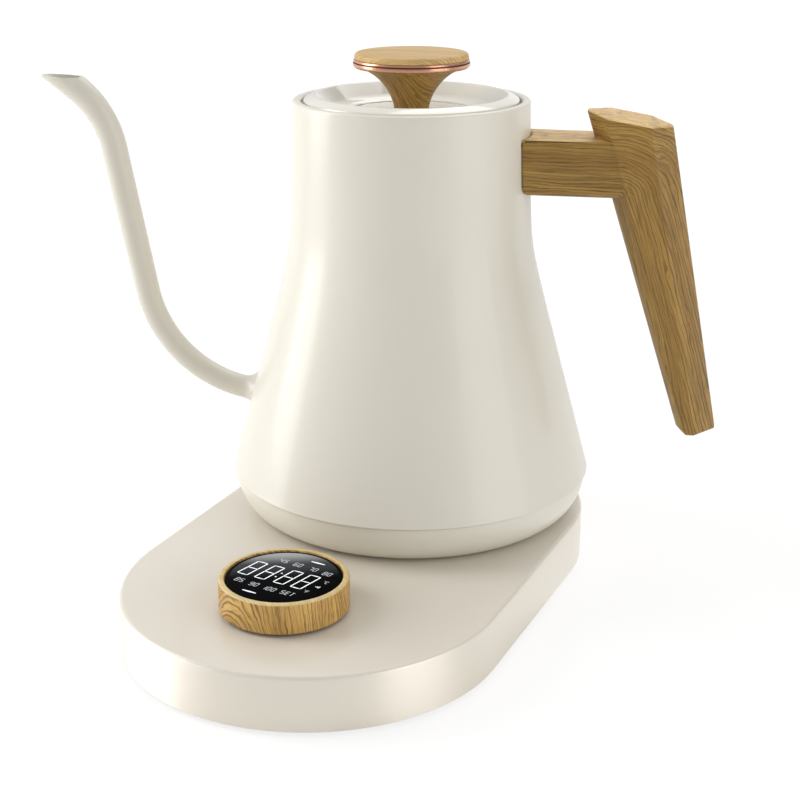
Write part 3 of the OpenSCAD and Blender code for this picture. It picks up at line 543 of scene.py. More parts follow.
handle_oak = oak("handle_oak", handle_grain, tint=0.96)
# The handle's upward faces take a paler, softer oak: painted light from above.
handle_top_painted_light_oak = oak("handle_top_painted_light_oak", handle_grain, PALE_OAK, spacing=1.1, contrast=0.6, tint=1.02)
stem_oak = oak("stem_oak", upright_grain, spacing=1.1, tint=0.98)
cap_oak = oak("cap_oak", flat_grain, PALE_OAK, spacing=1.1, contrast=0.8, tint=0.98)
dial_oak = oak("dial_oak", dial_grain, DIAL_OAK, spacing=1.1, contrast=1.15, tint=1.1)
dial_top_painted_light_oak = oak("dial_top_painted_light_oak", dial_grain, DIAL_TOP_PAINTED_LIGHT, spacing=0.6, contrast=0.6, tint=1.03)
print("oak ready")

# %% [markdown]
# ## The kettle's shell
# The shell is one spun sheet of steel: a straight skirt, a soft shoulder and an almost straight
# neck. Two lines blended with a square root give that side, as a pair of straight lines bent
# into a hyperbola. The rim is rolled, and a ledge inside it carries the lid. The outline goes up
# the outside, over the rim and down the inside, so the spun piece has a real thickness.

# %% The side of the shell
FOOT_R = 75.2
NECK_R = 48.5
RIM_R = 47.2
SHOULDER_H = 113.0
SHOULDER_BLEND = 1.3
SHELL_WALL = 1.0
RIM_W = 3.2
LEDGE_DEPTH = 2.6
MOUTH_R = 40.5
COLLAR_DEPTH = 11.0
SHELL_STEPS = 72


def shell_radius(h):
    """The shell's outer radius at a height over the kettle's underside."""
    skirt = FOOT_R + (NECK_R - FOOT_R) * (h - SEAM_H) / (SHOULDER_H - SEAM_H)
    upper = NECK_R + (RIM_R - NECK_R) * (h - SHOULDER_H) / (RIM_H - SHOULDER_H)
    return (skirt + upper) / 2 + sqrt(((skirt - upper) / 2) ** 2 + SHOULDER_BLEND**2)


def shell_side(low, high, inset=0.0):
    """Points up the side from one height to another."""
    heights = [low + (high - low) * i / SHELL_STEPS for i in range(SHELL_STEPS + 1)]
    return [(shell_radius(h) - inset, h) for h in heights]


ledge_h = RIM_H - LEDGE_DEPTH
rim_in_r = RIM_R - RIM_W
print(f"shell radius at the shoulder: {shell_radius(SHOULDER_H):.1f} mm")

# %% Spin the shell
ROLL = 1.0
HEM = 0.35
LEDGE_EDGE = 0.3
rim_out = shell_radius(RIM_H)
collar_low = ledge_h - COLLAR_DEPTH
collar_out = MOUTH_R + SHELL_WALL
outside = [(FOOT_R - HEM, SEAM_H)] + arc(FOOT_R - HEM, SEAM_H + HEM, HEM, -60, 0, 3)
outside += shell_side(SEAM_H + 2 * HEM, RIM_H - ROLL)
rolled = arc(rim_out - ROLL, RIM_H - ROLL, ROLL, 10, 90)
rolled += arc(rim_in_r + ROLL, RIM_H - ROLL, ROLL, 90, 180)
ledge = [
    (rim_in_r, ledge_h, LEDGE_EDGE),
    (MOUTH_R, ledge_h, LEDGE_EDGE),
    (MOUTH_R, collar_low),
    (collar_out, collar_low),
    (collar_out, ledge_h - SHELL_WALL),
]
inside = list(reversed(shell_side(SEAM_H, ledge_h - SHELL_WALL, SHELL_WALL)))
shell = lathe(raised(outside + rolled + ledge + inside, KETTLE_Z))
print("shell spun:", len(shell.data.polygons), "faces")

# %% [markdown]
# The spout enters low on the side away from the handle. Its hole is bored before the shell gets
# its two finishes: lacquer outside and over the rim, bare steel within.

# %% Bore the spout hole and finish the shell
SPOUT_ROOT_H = 45.0
SPOUT_ROOT_R = 4.8
SPOUT_FLARE = 2.4
SPOUT_ROOT_DEG = 5.0
SPOUT_HOLE_DEPTH = 14
LACQUER_REACH = 0.5
ROOT_X = shell_radius(SPOUT_ROOT_H)
bare_below = (KETTLE_Z + ledge_h - LACQUER_REACH) * MM

root_turn = radians(180 + KETTLE_TURN)
root_place = (ROOT_X * cos(root_turn), ROOT_X * sin(root_turn), KETTLE_Z + SPOUT_ROOT_H)
hole_turn = (0, radians(90 - SPOUT_ROOT_DEG), root_turn)
bore(shell, SPOUT_ROOT_R + SPOUT_FLARE, root_place, SPOUT_HOLE_DEPTH, hole_turn)


def is_inside(face):
    inward = face.normal.x * face.center.x + face.normal.y * face.center.y < 0
    return inward and face.center.z < bare_below


two_tone(shell, cream_lacquer, steel, is_inside)
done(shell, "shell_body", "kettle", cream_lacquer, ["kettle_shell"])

# %% [markdown]
# ## The lower skirt
# Under a thin seam the body tucks in with a quarter ellipse to its flat underside, where three
# screws hold it.

# %% Spin the lower skirt
SEAM_STEP = 0.9
UNDERSIDE_R = 62.0
COVER_WALL = 2.2
SOCKET_HOLE_R = 25.3
SKIRT_STEPS = 24
SEAM_GAP = 0.3
SEAM_CLEAR = 0.6


def tuck(inset):
    """Points of the tuck, from the underside out and up to just below the seam."""
    run = FOOT_R - SEAM_STEP - UNDERSIDE_R
    turns = [pi / 2 * i / SKIRT_STEPS for i in range(SKIRT_STEPS + 1)]
    points = [(UNDERSIDE_R + (run - inset) * sin(t), SEAM_H - (SEAM_H - inset) * cos(t)) for t in turns]
    return [point for point in points if point[1] < SEAM_H - SEAM_CLEAR]


lip_r = FOOT_R - SEAM_STEP
skirt_outline = [
    (SOCKET_HOLE_R, 0, 0.4),
    *tuck(0),
    (lip_r, SEAM_H - SEAM_GAP, 0.25),
    (lip_r - COVER_WALL, SEAM_H - SEAM_GAP),
    *reversed(tuck(COVER_WALL)),
    (SOCKET_HOLE_R, COVER_WALL),
]
skirt = lathe(raised(skirt_outline, KETTLE_Z))

STUD_OUT = 57.6
STUD_TURNS = (30, 150, 270)
STUD_HOLE_R = 3.1
STUD_HOLE_DEPTH = 6
for turn in STUD_TURNS:
    around = radians(turn + KETTLE_TURN)
    bore(skirt, STUD_HOLE_R, (STUD_OUT * cos(around), STUD_OUT * sin(around), KETTLE_Z), STUD_HOLE_DEPTH)
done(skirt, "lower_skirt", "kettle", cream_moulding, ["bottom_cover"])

# %% [markdown]
# ## The gooseneck spout
# The spout is a tube bent twice: up out of the body, along a lean and over again to its mouth. A
# circle is extruded and spun along that route, as a bending machine would work it. The mouth is
# then sliced level, which turns the slanted tube into a pointed lip, and the tube gets its wall.

# %% Bend the tube
SPOUT_TIP_H = 176.3
SPOUT_TIP_R = 5.5
SPOUT_WALL = 0.7
SPOUT_LEAN_DEG = 79.5
SPOUT_POUR_DEG = 38.0
ELBOW_R = 52.0
GOOSE_R = 39.0
SPOUT_END = 8.0
SPOUT_BURY = 4.0
SPOUT_TRIM = 9.0
SPOUT_SIDES = 48
BURY_STEPS = 4
ELBOW_STEPS = 36
LEAN_STEPS = 14
GOOSE_STEPS = 24
END_STEPS = 6


def heading(degrees):
    """The way the tube runs at an angle over the level."""
    return Vector((-cos(radians(degrees)), 0, sin(radians(degrees))))


def above(degrees):
    """The way square to the tube, on its upper side."""
    return Vector((sin(radians(degrees)), 0, cos(radians(degrees))))


def pull(length, direction, steps):
    """Extrudes the open end in equal steps."""
    step = direction * (length * MM / steps)
    for _ in range(steps):
        bpy.ops.mesh.extrude_edges_move(TRANSFORM_OT_translate={"value": step})


def bend(centre, degrees, steps, axis):
    """Spins the open end about a level axis through a centre."""
    bpy.ops.mesh.spin(steps=steps, angle=radians(degrees), center=centre * MM, axis=axis)


root = Vector((-ROOT_X, 0, SPOUT_ROOT_H))
elbow_end = root + (above(SPOUT_ROOT_DEG) - above(SPOUT_LEAN_DEG)) * ELBOW_R
goose_drop = (above(SPOUT_POUR_DEG) - above(SPOUT_LEAN_DEG)) * GOOSE_R
end_rise = SPOUT_END * sin(radians(SPOUT_POUR_DEG))
straight = (SPOUT_TIP_H - end_rise - goose_drop.z - elbow_end.z) / sin(radians(SPOUT_LEAN_DEG))

deselect()
start = root - heading(SPOUT_ROOT_DEG) * SPOUT_BURY
faces_out = (0, radians(SPOUT_ROOT_DEG - 90), 0)
bpy.ops.mesh.primitive_circle_add(
    vertices=SPOUT_SIDES, radius=SPOUT_ROOT_R * MM, location=start * MM, rotation=faces_out
)
spout = bpy.context.object
bpy.ops.object.transform_apply(location=True, rotation=True, scale=True)
bpy.ops.object.mode_set(mode="EDIT")
bpy.ops.mesh.select_all(action="SELECT")
pull(SPOUT_BURY, heading(SPOUT_ROOT_DEG), BURY_STEPS)
elbow_centre = root + above(SPOUT_ROOT_DEG) * ELBOW_R
bend(elbow_centre, SPOUT_LEAN_DEG - SPOUT_ROOT_DEG, ELBOW_STEPS, (0, -1, 0))
pull(straight, heading(SPOUT_LEAN_DEG), LEAN_STEPS)
straight_end = elbow_end + heading(SPOUT_LEAN_DEG) * straight
goose_centre = straight_end - above(SPOUT_LEAN_DEG) * GOOSE_R
bend(goose_centre, SPOUT_LEAN_DEG - SPOUT_POUR_DEG, GOOSE_STEPS, (0, 1, 0))
pull(SPOUT_END + SPOUT_TRIM, heading(SPOUT_POUR_DEG), END_STEPS)
print(f"spout: straight of {straight:.1f} mm, {len(bmesh.from_edit_mesh(spout.data).verts)} vertices")

# %% [markdown]
# A vertex group holds how far along each ring is. Displace modifiers read it: one widens the
# tube slightly towards the mouth, the other flares the root into the weld.

# %% Taper, flare, slice and thicken the spout
FLARE_RUN = 7.0
FLARE_LEAD = 1.5
FLARE_CURVE = 2.2
WELD_FLARE = 4.0


def share(value):
    """Keeps a weight between 0 and 1."""
    return min(1.0, max(0.0, value))


bpy.ops.mesh.select_all(action="SELECT")
bpy.ops.mesh.normals_make_consistent(inside=False)
deselect()
towards_mouth = spout.vertex_groups.new(name="towards_mouth")
root_flare = spout.vertex_groups.new(name="root_flare")
for v in spout.data.vertices:
    rise = (v.co.z / MM - SPOUT_ROOT_H) / (SPOUT_TIP_H - SPOUT_ROOT_H)
    towards_mouth.add([v.index], share(rise), "REPLACE")
    reach = -v.co.x / MM - ROOT_X
    nearness = share(1 - (reach + FLARE_LEAD) / FLARE_RUN)
    root_flare.add([v.index], nearness**FLARE_CURVE, "REPLACE")
for group, strength in ((towards_mouth, SPOUT_TIP_R - SPOUT_ROOT_R), (root_flare, WELD_FLARE)):
    widen = spout.modifiers.new(group.name, "DISPLACE")
    widen.vertex_group = group.name
    widen.strength = strength * MM
    widen.mid_level = 0.0
apply_all(spout)
bpy.ops.object.mode_set(mode="EDIT")
bpy.ops.mesh.select_all(action="SELECT")
bpy.ops.mesh.bisect(plane_co=(0, 0, SPOUT_TIP_H * MM), plane_no=(0, 0, 1), clear_outer=True)
deselect()
wall = spout.modifiers.new("wall", "SOLIDIFY")
wall.thickness = SPOUT_WALL * MM
wall.offset = -1
spout.rotation_euler.z = radians(KETTLE_TURN)
spout.location.z = KETTLE_Z * MM
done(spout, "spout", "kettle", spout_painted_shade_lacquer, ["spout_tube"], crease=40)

# %% [markdown]
# ## The handle
# The handle is one block of oak: a square arm that meets a tapered, eight-sided grip. The merged
# copy of its solid has the right planes, so only its edges need work. Coplanar triangles are
# dissolved and every outer edge is eased, as sandpaper does it.

# %% Ease the handle's edges
HANDLE_EASE = 1.1
EASE_STEPS = 5
FLAT_WITHIN = 1.5
SHARP_FROM = 18
deselect()
nodes["handle"].select_set(True)
bpy.context.view_layer.objects.active = nodes["handle"]
bpy.ops.object.duplicate()
handle = bpy.context.object
handle.parent = None
for key in list(handle.keys()):
    del handle[key]
bpy.ops.object.mode_set(mode="EDIT")
bpy.ops.mesh.select_all(action="SELECT")
bpy.ops.mesh.remove_doubles(threshold=WELD * MM)
bpy.ops.mesh.dissolve_limited(angle_limit=radians(FLAT_WITHIN))
turns_out = radians(SHARP_FROM)
sharp = choose("edges", lambda e: len(e.link_faces) == 2 and e.calc_face_angle_signed(0) > turns_out)
bpy.ops.mesh.bevel(offset=HANDLE_EASE * MM, segments=EASE_STEPS, affect="EDGES")
deselect()
handle.data.materials.clear()
# Upward faces get that paler oak, as painted light.
two_tone(handle, handle_oak, handle_top_painted_light_oak, looks_up)
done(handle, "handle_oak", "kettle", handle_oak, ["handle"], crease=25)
print("eased edges:", sharp)

# %% [markdown]
# ## The lid
# The lid is a dished pressing with a raised brim, a drop to a flat floor and a fine bead round the
# knob.

# %% Spin the lid
LID_GAP = 1.0
LID_WALL = 1.0
BRIM_W = 5.3
BRIM_RISE = 2.0
DISH_R = 31.0
DISH_DEPTH = 6.7
BEAD_R = 25.0
BEAD_SINK = 0.35
BEAD_ROUND = 0.85
LID_LIFT = 0.3
STEM_HOLE_R = 1.55
lid_r = rim_in_r - LID_GAP
brim_in_r = lid_r - BRIM_W
brim_h = RIM_H + BRIM_RISE
dish_h = brim_h - DISH_DEPTH
lid_low = ledge_h + LID_LIFT
bead = arc(BEAD_R, dish_h - BEAD_SINK, BEAD_ROUND, 25, 155, 8)
lid_top = [
    (lid_r, lid_low),
    (lid_r, RIM_H, 0.6),
    (lid_r - 2.6, RIM_H + 1.3, 1.2),
    (brim_in_r + 0.5, brim_h, 0.7),
    (DISH_R + 1.6, dish_h + 1.1, 1.4),
    (DISH_R - 1.5, dish_h, 1.0),
    *bead,
    (STEM_HOLE_R, dish_h),
]
lid_under = [
    (STEM_HOLE_R, dish_h - LID_WALL),
    (DISH_R, dish_h - LID_WALL, 0.8),
    (brim_in_r, brim_h - 0.6 - LID_WALL, 0.4),
    (lid_r - LID_WALL, RIM_H - LID_WALL, 0.4),
    (lid_r - LID_WALL, lid_low),
]
lid = lathe(raised(lid_top + lid_under, KETTLE_Z))
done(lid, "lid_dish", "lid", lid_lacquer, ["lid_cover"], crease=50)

# %% [markdown]
# ## The knob
# The stem flares in a concave curve to a disc. A copper band with a groove lies on it, and a flat
# wooden cap with soft edges closes the top.

# %% Turn the stem
STEM_R = 6.9
FLARE_R = 22.4
FLARE_H = 17.0
FLARE_SHAPE = 1.7
FLARE_LIP = 0.4
FLARE_STEPS = 28
FLARE_FROM, FLARE_TO = 5, 85
RING_H = 2.8
SPIGOT_R = 21.45
SPIGOT_SHORT = 0.1
SEAT_GAP = 0.05


def flare_point(degrees):
    """A point of the stem's flare, a quarter of a fuller ellipse."""
    out = cos(radians(degrees)) ** (2 / FLARE_SHAPE)
    up = sin(radians(degrees)) ** (2 / FLARE_SHAPE)
    return FLARE_R - (FLARE_R - STEM_R) * out, dish_h + FLARE_H * up


flare_turn = (FLARE_TO - FLARE_FROM) / FLARE_STEPS
ring_low = dish_h + FLARE_H + FLARE_LIP
spigot_top = ring_low + RING_H - SPIGOT_SHORT
stem_outline = [
    (STEM_HOLE_R, dish_h + SEAT_GAP),
    (STEM_R, dish_h + SEAT_GAP),
    *[flare_point(FLARE_FROM + flare_turn * i) for i in range(FLARE_STEPS + 1)],
    (FLARE_R, dish_h + FLARE_H),
    (FLARE_R, ring_low - SEAT_GAP),
    (SPIGOT_R, ring_low - SEAT_GAP),
    (SPIGOT_R, spigot_top),
    (STEM_HOLE_R, spigot_top),
]
stem = lathe(raised(stem_outline, KETTLE_Z))
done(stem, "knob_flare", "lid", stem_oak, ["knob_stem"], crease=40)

# %% Turn the copper band and the cap
GROOVE_DEPTH = 0.6
GROOVE_H = 0.5
GROOVE_UP = 1.75
GROOVE_SHADE_IN = 0.15
GROOVE_SHADE_H = 0.6
band_in_r = SPIGOT_R + SEAT_GAP
groove_r = RING_R - GROOVE_DEPTH
groove_mid = ring_low + GROOVE_UP
groove_low, groove_high = groove_mid - GROOVE_H / 2, groove_mid + GROOVE_H / 2
band_outline = [
    (band_in_r, ring_low),
    (RING_R, ring_low, 0.45),
    (RING_R, groove_low, 0.15),
    (groove_r, groove_low),
    (groove_r, groove_high),
    (RING_R - 0.1, groove_high, 0.12),
    (RING_R - 0.4, ring_low + RING_H, 0.2),
    (band_in_r, ring_low + RING_H),
]
band = lathe(raised(band_outline, KETTLE_Z))


def is_in_groove(face):
    within = hypot(face.center.x, face.center.y) < (RING_R - GROOVE_SHADE_IN) * MM
    return within and abs(face.center.z - (KETTLE_Z + groove_mid) * MM) < GROOVE_SHADE_H / 2 * MM


# The groove's faces get the dark copper: painted shade in the recess.
two_tone(band, copper, groove_painted_shade_copper, is_in_groove)
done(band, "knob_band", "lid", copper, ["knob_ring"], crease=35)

CAP_R = 22.6
CAP_EDGE = 1.3
CAP_CROWN = 0.6
CAP_GAP = 0.02
CROWN_SHARES = (0.85, 0.7, 0.55, 0.4, 0.25, 0.1)
cap_low = ring_low + RING_H + CAP_GAP
cap_shoulder = cap_low + CAP_H - CAP_CROWN
cap_outline = [
    (0.0, cap_low),
    (CAP_R, cap_low, 0.3),
    (CAP_R, cap_shoulder, CAP_EDGE),
    *[(CAP_R * part, cap_shoulder + CAP_CROWN * (1 - part**2)) for part in CROWN_SHARES],
    (0.0, cap_low + CAP_H - CAP_GAP),
]
cap = lathe(raised(cap_outline, KETTLE_Z))
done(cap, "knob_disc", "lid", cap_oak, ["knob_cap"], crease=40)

# %% [markdown]
# ## The base
# The base's cover is a hollow stadium. Two cylinders and the hull round them give the outline, the
# top edge is rounded, and the underside is inset and pushed up to leave the walls. Holes for the
# plug, the dial's guide and the lead's inlet are bored last.

# %% Shape the base cover
BASE_WALL = 2.4
BASE_EDGE_R = 1.6
BASE_FOOT_EDGE = 0.4
BASE_SIDES = 256
AT_LEVEL = 0.1


def base_end(y):
    """A full cylinder at one end of the base."""
    centre = (0, y * MM, (BASE_TOP + BASE_LOW) / 2 * MM)
    bpy.ops.mesh.primitive_cylinder_add(
        vertices=BASE_SIDES, radius=BASE_R * MM, depth=(BASE_TOP - BASE_LOW) * MM, location=centre
    )


deselect()
base_end(0)
case = bpy.context.object
bpy.ops.object.transform_apply(location=True, rotation=True, scale=True)
bpy.ops.object.mode_set(mode="EDIT")
base_end(-BASE_RUN)
bpy.ops.mesh.select_all(action="SELECT")
bpy.ops.mesh.convex_hull()
bpy.ops.mesh.select_all(action="SELECT")
bpy.ops.mesh.dissolve_limited(angle_limit=radians(0.5))
choose("edges", lambda e: all(v.co.z > (BASE_TOP - AT_LEVEL) * MM for v in e.verts))
bpy.ops.mesh.bevel(offset=BASE_EDGE_R * MM, segments=8, affect="EDGES")
choose("edges", lambda e: all(v.co.z < (BASE_LOW + AT_LEVEL) * MM for v in e.verts))
bpy.ops.mesh.bevel(offset=BASE_FOOT_EDGE * MM, segments=3, affect="EDGES")
choose("faces", lambda f: f.normal.z < -0.99)
bpy.ops.mesh.inset(thickness=(BASE_WALL - BASE_FOOT_EDGE) * MM)
hollow = (0, 0, (BASE_TOP - BASE_LOW - BASE_WALL) * MM)
bpy.ops.mesh.extrude_region_move(TRANSFORM_OT_translate={"value": hollow})
deselect()

# %% Bore the base cover's three holes
PLUG_HOLE_R = 19.05
GUIDE_HOLE_R = 9.5
INLET_HOLE_R = 5.65
INLET_Z = 12.0
BASE_HOLE_DEPTH = 10
bore(case, PLUG_HOLE_R, (0, 0, BASE_TOP), BASE_HOLE_DEPTH)
bore(case, GUIDE_HOLE_R, (0, DIAL_Y, BASE_TOP), BASE_HOLE_DEPTH)
bore(case, INLET_HOLE_R, (0, BASE_R, INLET_Z), BASE_HOLE_DEPTH, (pi / 2, 0, 0))
# The sides get the lighter pearl, which is painted light; the top keeps the plain pearl.
two_tone(case, pearl_side_painted_light, pearl_top, looks_up)
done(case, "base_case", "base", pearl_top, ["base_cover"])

# %% [markdown]
# ## The dial
# A turned oak ring goes round a black glass. The ring is turned on the same lathe as the kettle's
# parts, with a soft outer edge and a lip inside that it rests on. The glass is a thin disc with an
# eased rim.

# %% Turn the dial ring and its glass
DIAL_EDGE = 1.1
LENS_GAP = 0.3
LENS_T = 1.2
LENS_EDGE = 0.35
CARRIER_R = 22.4
LIP_H = 2.3
lens_bore = LENS_R + LENS_GAP
lip_top = DIAL_LOW + LIP_H
ring_outline = [
    (CARRIER_R, DIAL_LOW),
    (DIAL_R, DIAL_LOW, 0.5),
    (DIAL_R, DIAL_TOP, DIAL_EDGE),
    (lens_bore + 0.3, DIAL_TOP, 0.2),
    (lens_bore, DIAL_TOP - 0.6),
    (lens_bore, lip_top),
    (CARRIER_R, lip_top),
]
dial = lathe(ring_outline, (0, DIAL_Y))
# Its upward faces get the paler oak, as painted light.
two_tone(dial, dial_oak, dial_top_painted_light_oak, looks_up)
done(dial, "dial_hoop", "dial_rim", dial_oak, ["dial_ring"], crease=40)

lens_low = LENS_TOP - LENS_T
glass_outline = [(0.0, lens_low), (LENS_R, lens_low), (LENS_R, LENS_TOP, LENS_EDGE), (0.0, LENS_TOP)]
glass = lathe(glass_outline, (0, DIAL_Y))

# %% [markdown]
# The glass is black at the near edge and lighter towards the far one, which is a painted
# reflection of the pale room. It is a ramp laid across the disc, with a printed black border round
# it and a trace of dust. Its own mirror image is kept weak, or it would only show the kettle's wall.


# %% Paint a reflection on the glass
INK = (3, 3, 4)
PAINTED_REFLECTION_GREY = (64, 66, 68)
PAINTED_REFLECTION_PALE = (186, 188, 188)
DUST = (12, 12, 15)


def glass_with_painted_reflection():
    finish = Finish("black_glass", IOR=1.45, Specular_IOR_Level=0.01)
    x, y, z = finish.place()
    dust = finish.noise(finish.vector(x, y, z), 260, 3.0)
    ahead = y - DIAL_Y * MM
    across = (ahead * 0.9 - x * 0.45) / (LENS_R * MM) * 0.5 + 0.5
    # This ramp is the painted reflection: ink at the near edge, then grey, then pale.
    painted_reflection = finish.ramp(across, (0.47, rgb(*INK)), (0.72, rgb(*PAINTED_REFLECTION_GREY)), (1.0, rgb(*PAINTED_REFLECTION_PALE)), smooth=True)
    from_middle = (x * x + ahead * ahead) ** 0.5
    border = finish.ramp(from_middle / (LENS_R * MM), (0.93, 0.0), (0.95, 1.0))
    printed = finish.mix(border, painted_reflection, rgb(*INK))
    finish.set(Base_Color=finish.mix(dust * 0.12, printed, rgb(*DUST)))
    finish.set(Roughness=0.06 + dust * 0.05)
    return finish.material


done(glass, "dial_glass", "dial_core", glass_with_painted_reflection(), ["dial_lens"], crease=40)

# %% [markdown]
# ## The display
# The display shows four large seven-bar digits with a colon, a small mark of three bars beside
# them, and one short bar above and one below. Every bar is a flat six-sided prism drawn out to
# two points. All of it is shown as lit and lies a hair above the black glass.

# %% Draw the display's bars
SEGMENT_T = 0.06
# A figure's bars: each middle's place across and up in half sizes, and whether the bar stands
# upright, with None for a tall one that runs through the middle
SEGMENTS = {
    "a": (0, 1, False), "b": (0.5, 0.5, True), "c": (0.5, -0.5, True), "d": (0, -1, False),
    "e": (-0.5, -0.5, True), "f": (-0.5, 0.5, True), "g": (0, 0, False), "m": (0, 0, None),
}
DIGITS = {
    "0": "abcdef", "1": "bc", "4": "fgbc", "5": "afgcd", "6": "afgecd", "7": "abc", "8": "abcdefg",
    "9": "abcdfg", "S": "afgcd", "E": "adefg", "T": "am", "C": "adef", "F": "aefg",
}
SEGMENT_GAP = 0.35


def bar(length, width, place, upright=False):
    """A thin bar with pointed ends, lying flat at a place in millimetres."""
    deselect()
    bpy.ops.mesh.primitive_cylinder_add(vertices=6, radius=width / 2 * MM, depth=SEGMENT_T * MM)
    piece = bpy.context.object
    bpy.ops.object.mode_set(mode="EDIT")
    along = 1 if upright else 0
    stretch = (length - width) / 2 * MM
    for side in (-1, 1):
        choose("verts", lambda v: v.co[along] * side > 0.1 * width * MM)
        shift = [0, 0, 0]
        shift[along] = side * stretch
        bpy.ops.transform.translate(value=shift)
    deselect()
    piece.location = (place[0] * MM, place[1] * MM, 0)
    return piece


def figure_bars(figure, middle_x, middle_y, width, tall, stroke):
    """The bars of one seven-bar figure."""
    made = []
    for key in DIGITS[figure]:
        across, up, upright = SEGMENTS[key]
        length = tall if upright is None else (tall / 2 if upright else width) - stroke * SEGMENT_GAP
        spot = (middle_x + across * width, middle_y + up * tall / 2)
        made.append(bar(length, stroke, spot, upright is not False))
    return made


DIGIT_SIZE = (4.3, 11.6, 0.5)
DIGIT_X = (-14.3, -6.75, 1.6, 9.1)
COLON_X, COLON_Y, COLON_SIZE = -2.6, (1.6, -1.8), 0.7
MARK_X, MARK_Y, MARK_STEP, MARK_STROKE = 14.6, -1.4, 0.7, 0.35
SIGN_LENGTH, SIGN_STROKE = 6.0, 0.8
bars = []
for digit_x in DIGIT_X:
    bars += figure_bars("8", digit_x, 0.0, *DIGIT_SIZE)
for dot_y in COLON_Y:
    bars.append(bar(COLON_SIZE, COLON_SIZE, (COLON_X, dot_y)))
for step in range(3):
    mark = (MARK_X + MARK_STEP * step, MARK_Y)
    bars.append(bar(0.5 + 0.5 * step, MARK_STROKE, mark, upright=True))
for sign in ((2.6, 15.6), (-2.3, -16.6)):
    bars.append(bar(SIGN_LENGTH, SIGN_STROKE, sign))
print("bars on the display:", len(bars))

# %% [markdown]
# Round the digits stand the presets' temperatures, the word SET and the letters C and F for the
# two scales. They are small figures of the same seven bars, so one function draws everything. A
# dot before each letter is its degree sign.

# %% Set the presets' figures
LABEL_SIZE = (1.2, 2.5, 0.26)
LABEL_STEP = 2.0
SCALE_SIZE = (0.9, 1.6, 0.24)
DEGREE_SIZE, DEGREE_LEFT, DEGREE_UP = 0.4, 1.3, 0.8
labels = [
    ("45", -8.9, 10.9), ("60", -2.4, 10.6), ("70", 4.6, 10.2), ("80", 11.3, 9.4),
    ("85", -11.6, -10.4), ("90", -4.8, -10.9), ("100", 2.0, -11.2), ("SET", 9.8, -11.0),
]
small = []
for words, x, y in labels:
    for place, figure in enumerate(words):
        middle = x + (place - (len(words) - 1) / 2) * LABEL_STEP
        small += figure_bars(figure, middle, y, *LABEL_SIZE)
for figure, x, y in (("C", 15.9, 3.2), ("F", 14.7, -6.4)):
    small += figure_bars(figure, x, y, *SCALE_SIZE)
    small.append(bar(DEGREE_SIZE, DEGREE_SIZE, (x - DEGREE_LEFT, y + DEGREE_UP)))
print("bars in the labels:", len(small))

# %% [markdown]
# The digits glow brightly and the presets faintly, so they are two pieces with two lights. Both
# lean a little, as figures on a display do, and are turned on the glass before they are laid down.


# %% Light the display
DISPLAY_LEAN = 0.12
DISPLAY_TURN = -6.0
DISPLAY_SHIFT = 0.4
DISPLAY_LIFT = 0.01


def light(name, strength):
    """Figures that glow, a little unevenly."""
    finish = Finish(name, Emission_Strength=strength, Roughness=0.5)
    glow = finish.noise(finish.vector(*finish.place()), 500, 2.0)
    finish.set(Base_Color=finish.mix(glow, rgb(150, 154, 158), rgb(190, 194, 198)))
    finish.set(Emission_Color=finish.mix(glow, rgb(225, 232, 240), rgb(250, 252, 255)))
    return finish.material


def lay_on_glass(pieces, name, material):
    """Joins bars to one piece, leans and turns them, and lays them on the glass."""
    deselect()
    for piece in pieces:
        piece.select_set(True)
    bpy.context.view_layer.objects.active = pieces[0]
    bpy.ops.object.transform_apply(location=True, rotation=True, scale=True)
    bpy.ops.object.join()
    joined = bpy.context.object
    lean = Matrix.Identity(4)
    lean[0][1] = DISPLAY_LEAN
    on_glass = LENS_TOP + SEGMENT_T / 2 + DISPLAY_LIFT
    set_down = Matrix.Translation((DISPLAY_SHIFT * MM, DIAL_Y * MM, on_glass * MM))
    joined.data.transform(set_down @ Matrix.Rotation(radians(DISPLAY_TURN), 4, "Z") @ lean)
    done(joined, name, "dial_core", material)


lay_on_glass(bars, "display_figures", light("display_light", 0.9))
lay_on_glass(small, "display_labels", light("label_light", 0.35))

# %% [markdown]
# ## Pieces that keep their own shape
# The connector, the boards, the heater and the fasteners are right as they are. Each gets the
# finish of what it is made of.

# %% Finish the remaining nodes
made_of = [
    (dark_plastic, "base_bottom base_connector power_transformer press_switch dial_guide dial_carrier"),
    (dark_plastic, "kettle_socket dry_boil_cutout"),
    (rubber, "base_feet inlet_bush"),
    (silicone, "probe_seal lid_gasket"),
    (solder_mask, "power_board control_board dial_display"),
    (blue_case, "power_relay power_capacitor power_terminals"),
    (brass, "base_contacts kettle_contacts element_terminals"),
    (steel, "vessel_floor temperature_probe lid_liner"),
    (plain_steel, "base_screws bottom_screws handle_bracket handle_screw knob_screw"),
    (element_steel, "heating_element"),
    (aluminium, "heat_spreader"),
]
for material, names in made_of:
    for name in names.split():
        nodes[name].data.materials.clear()
        nodes[name].data.materials.append(material)
    print(f"{material.name}: {names}")

# %% [markdown]
# ## The studio
# A white floor meets a white surround, and the camera sees both as white. A glossy surface
# sees the floor dark in front and bright behind, as black flags beside the camera would have it,
# with one bright patch beside the base for its right flank. From below the floor is clear, so
# that the underside can be looked at.


# %% Floor
CAMERA_AZIMUTH = 24.06
FLOOR_WHITE = (250, 249, 247)
FLOOR_SIZE = 8
FLOOR_DROP = 0.3
FLOOR_GLOW = 1.06
FRONT_SHADE, BACK_SHADE = (0.4, 0.1), (0.75, 1.0)
PATCH_FROM, PATCH_TO = (0.048, 0.0), (0.062, 1.0)


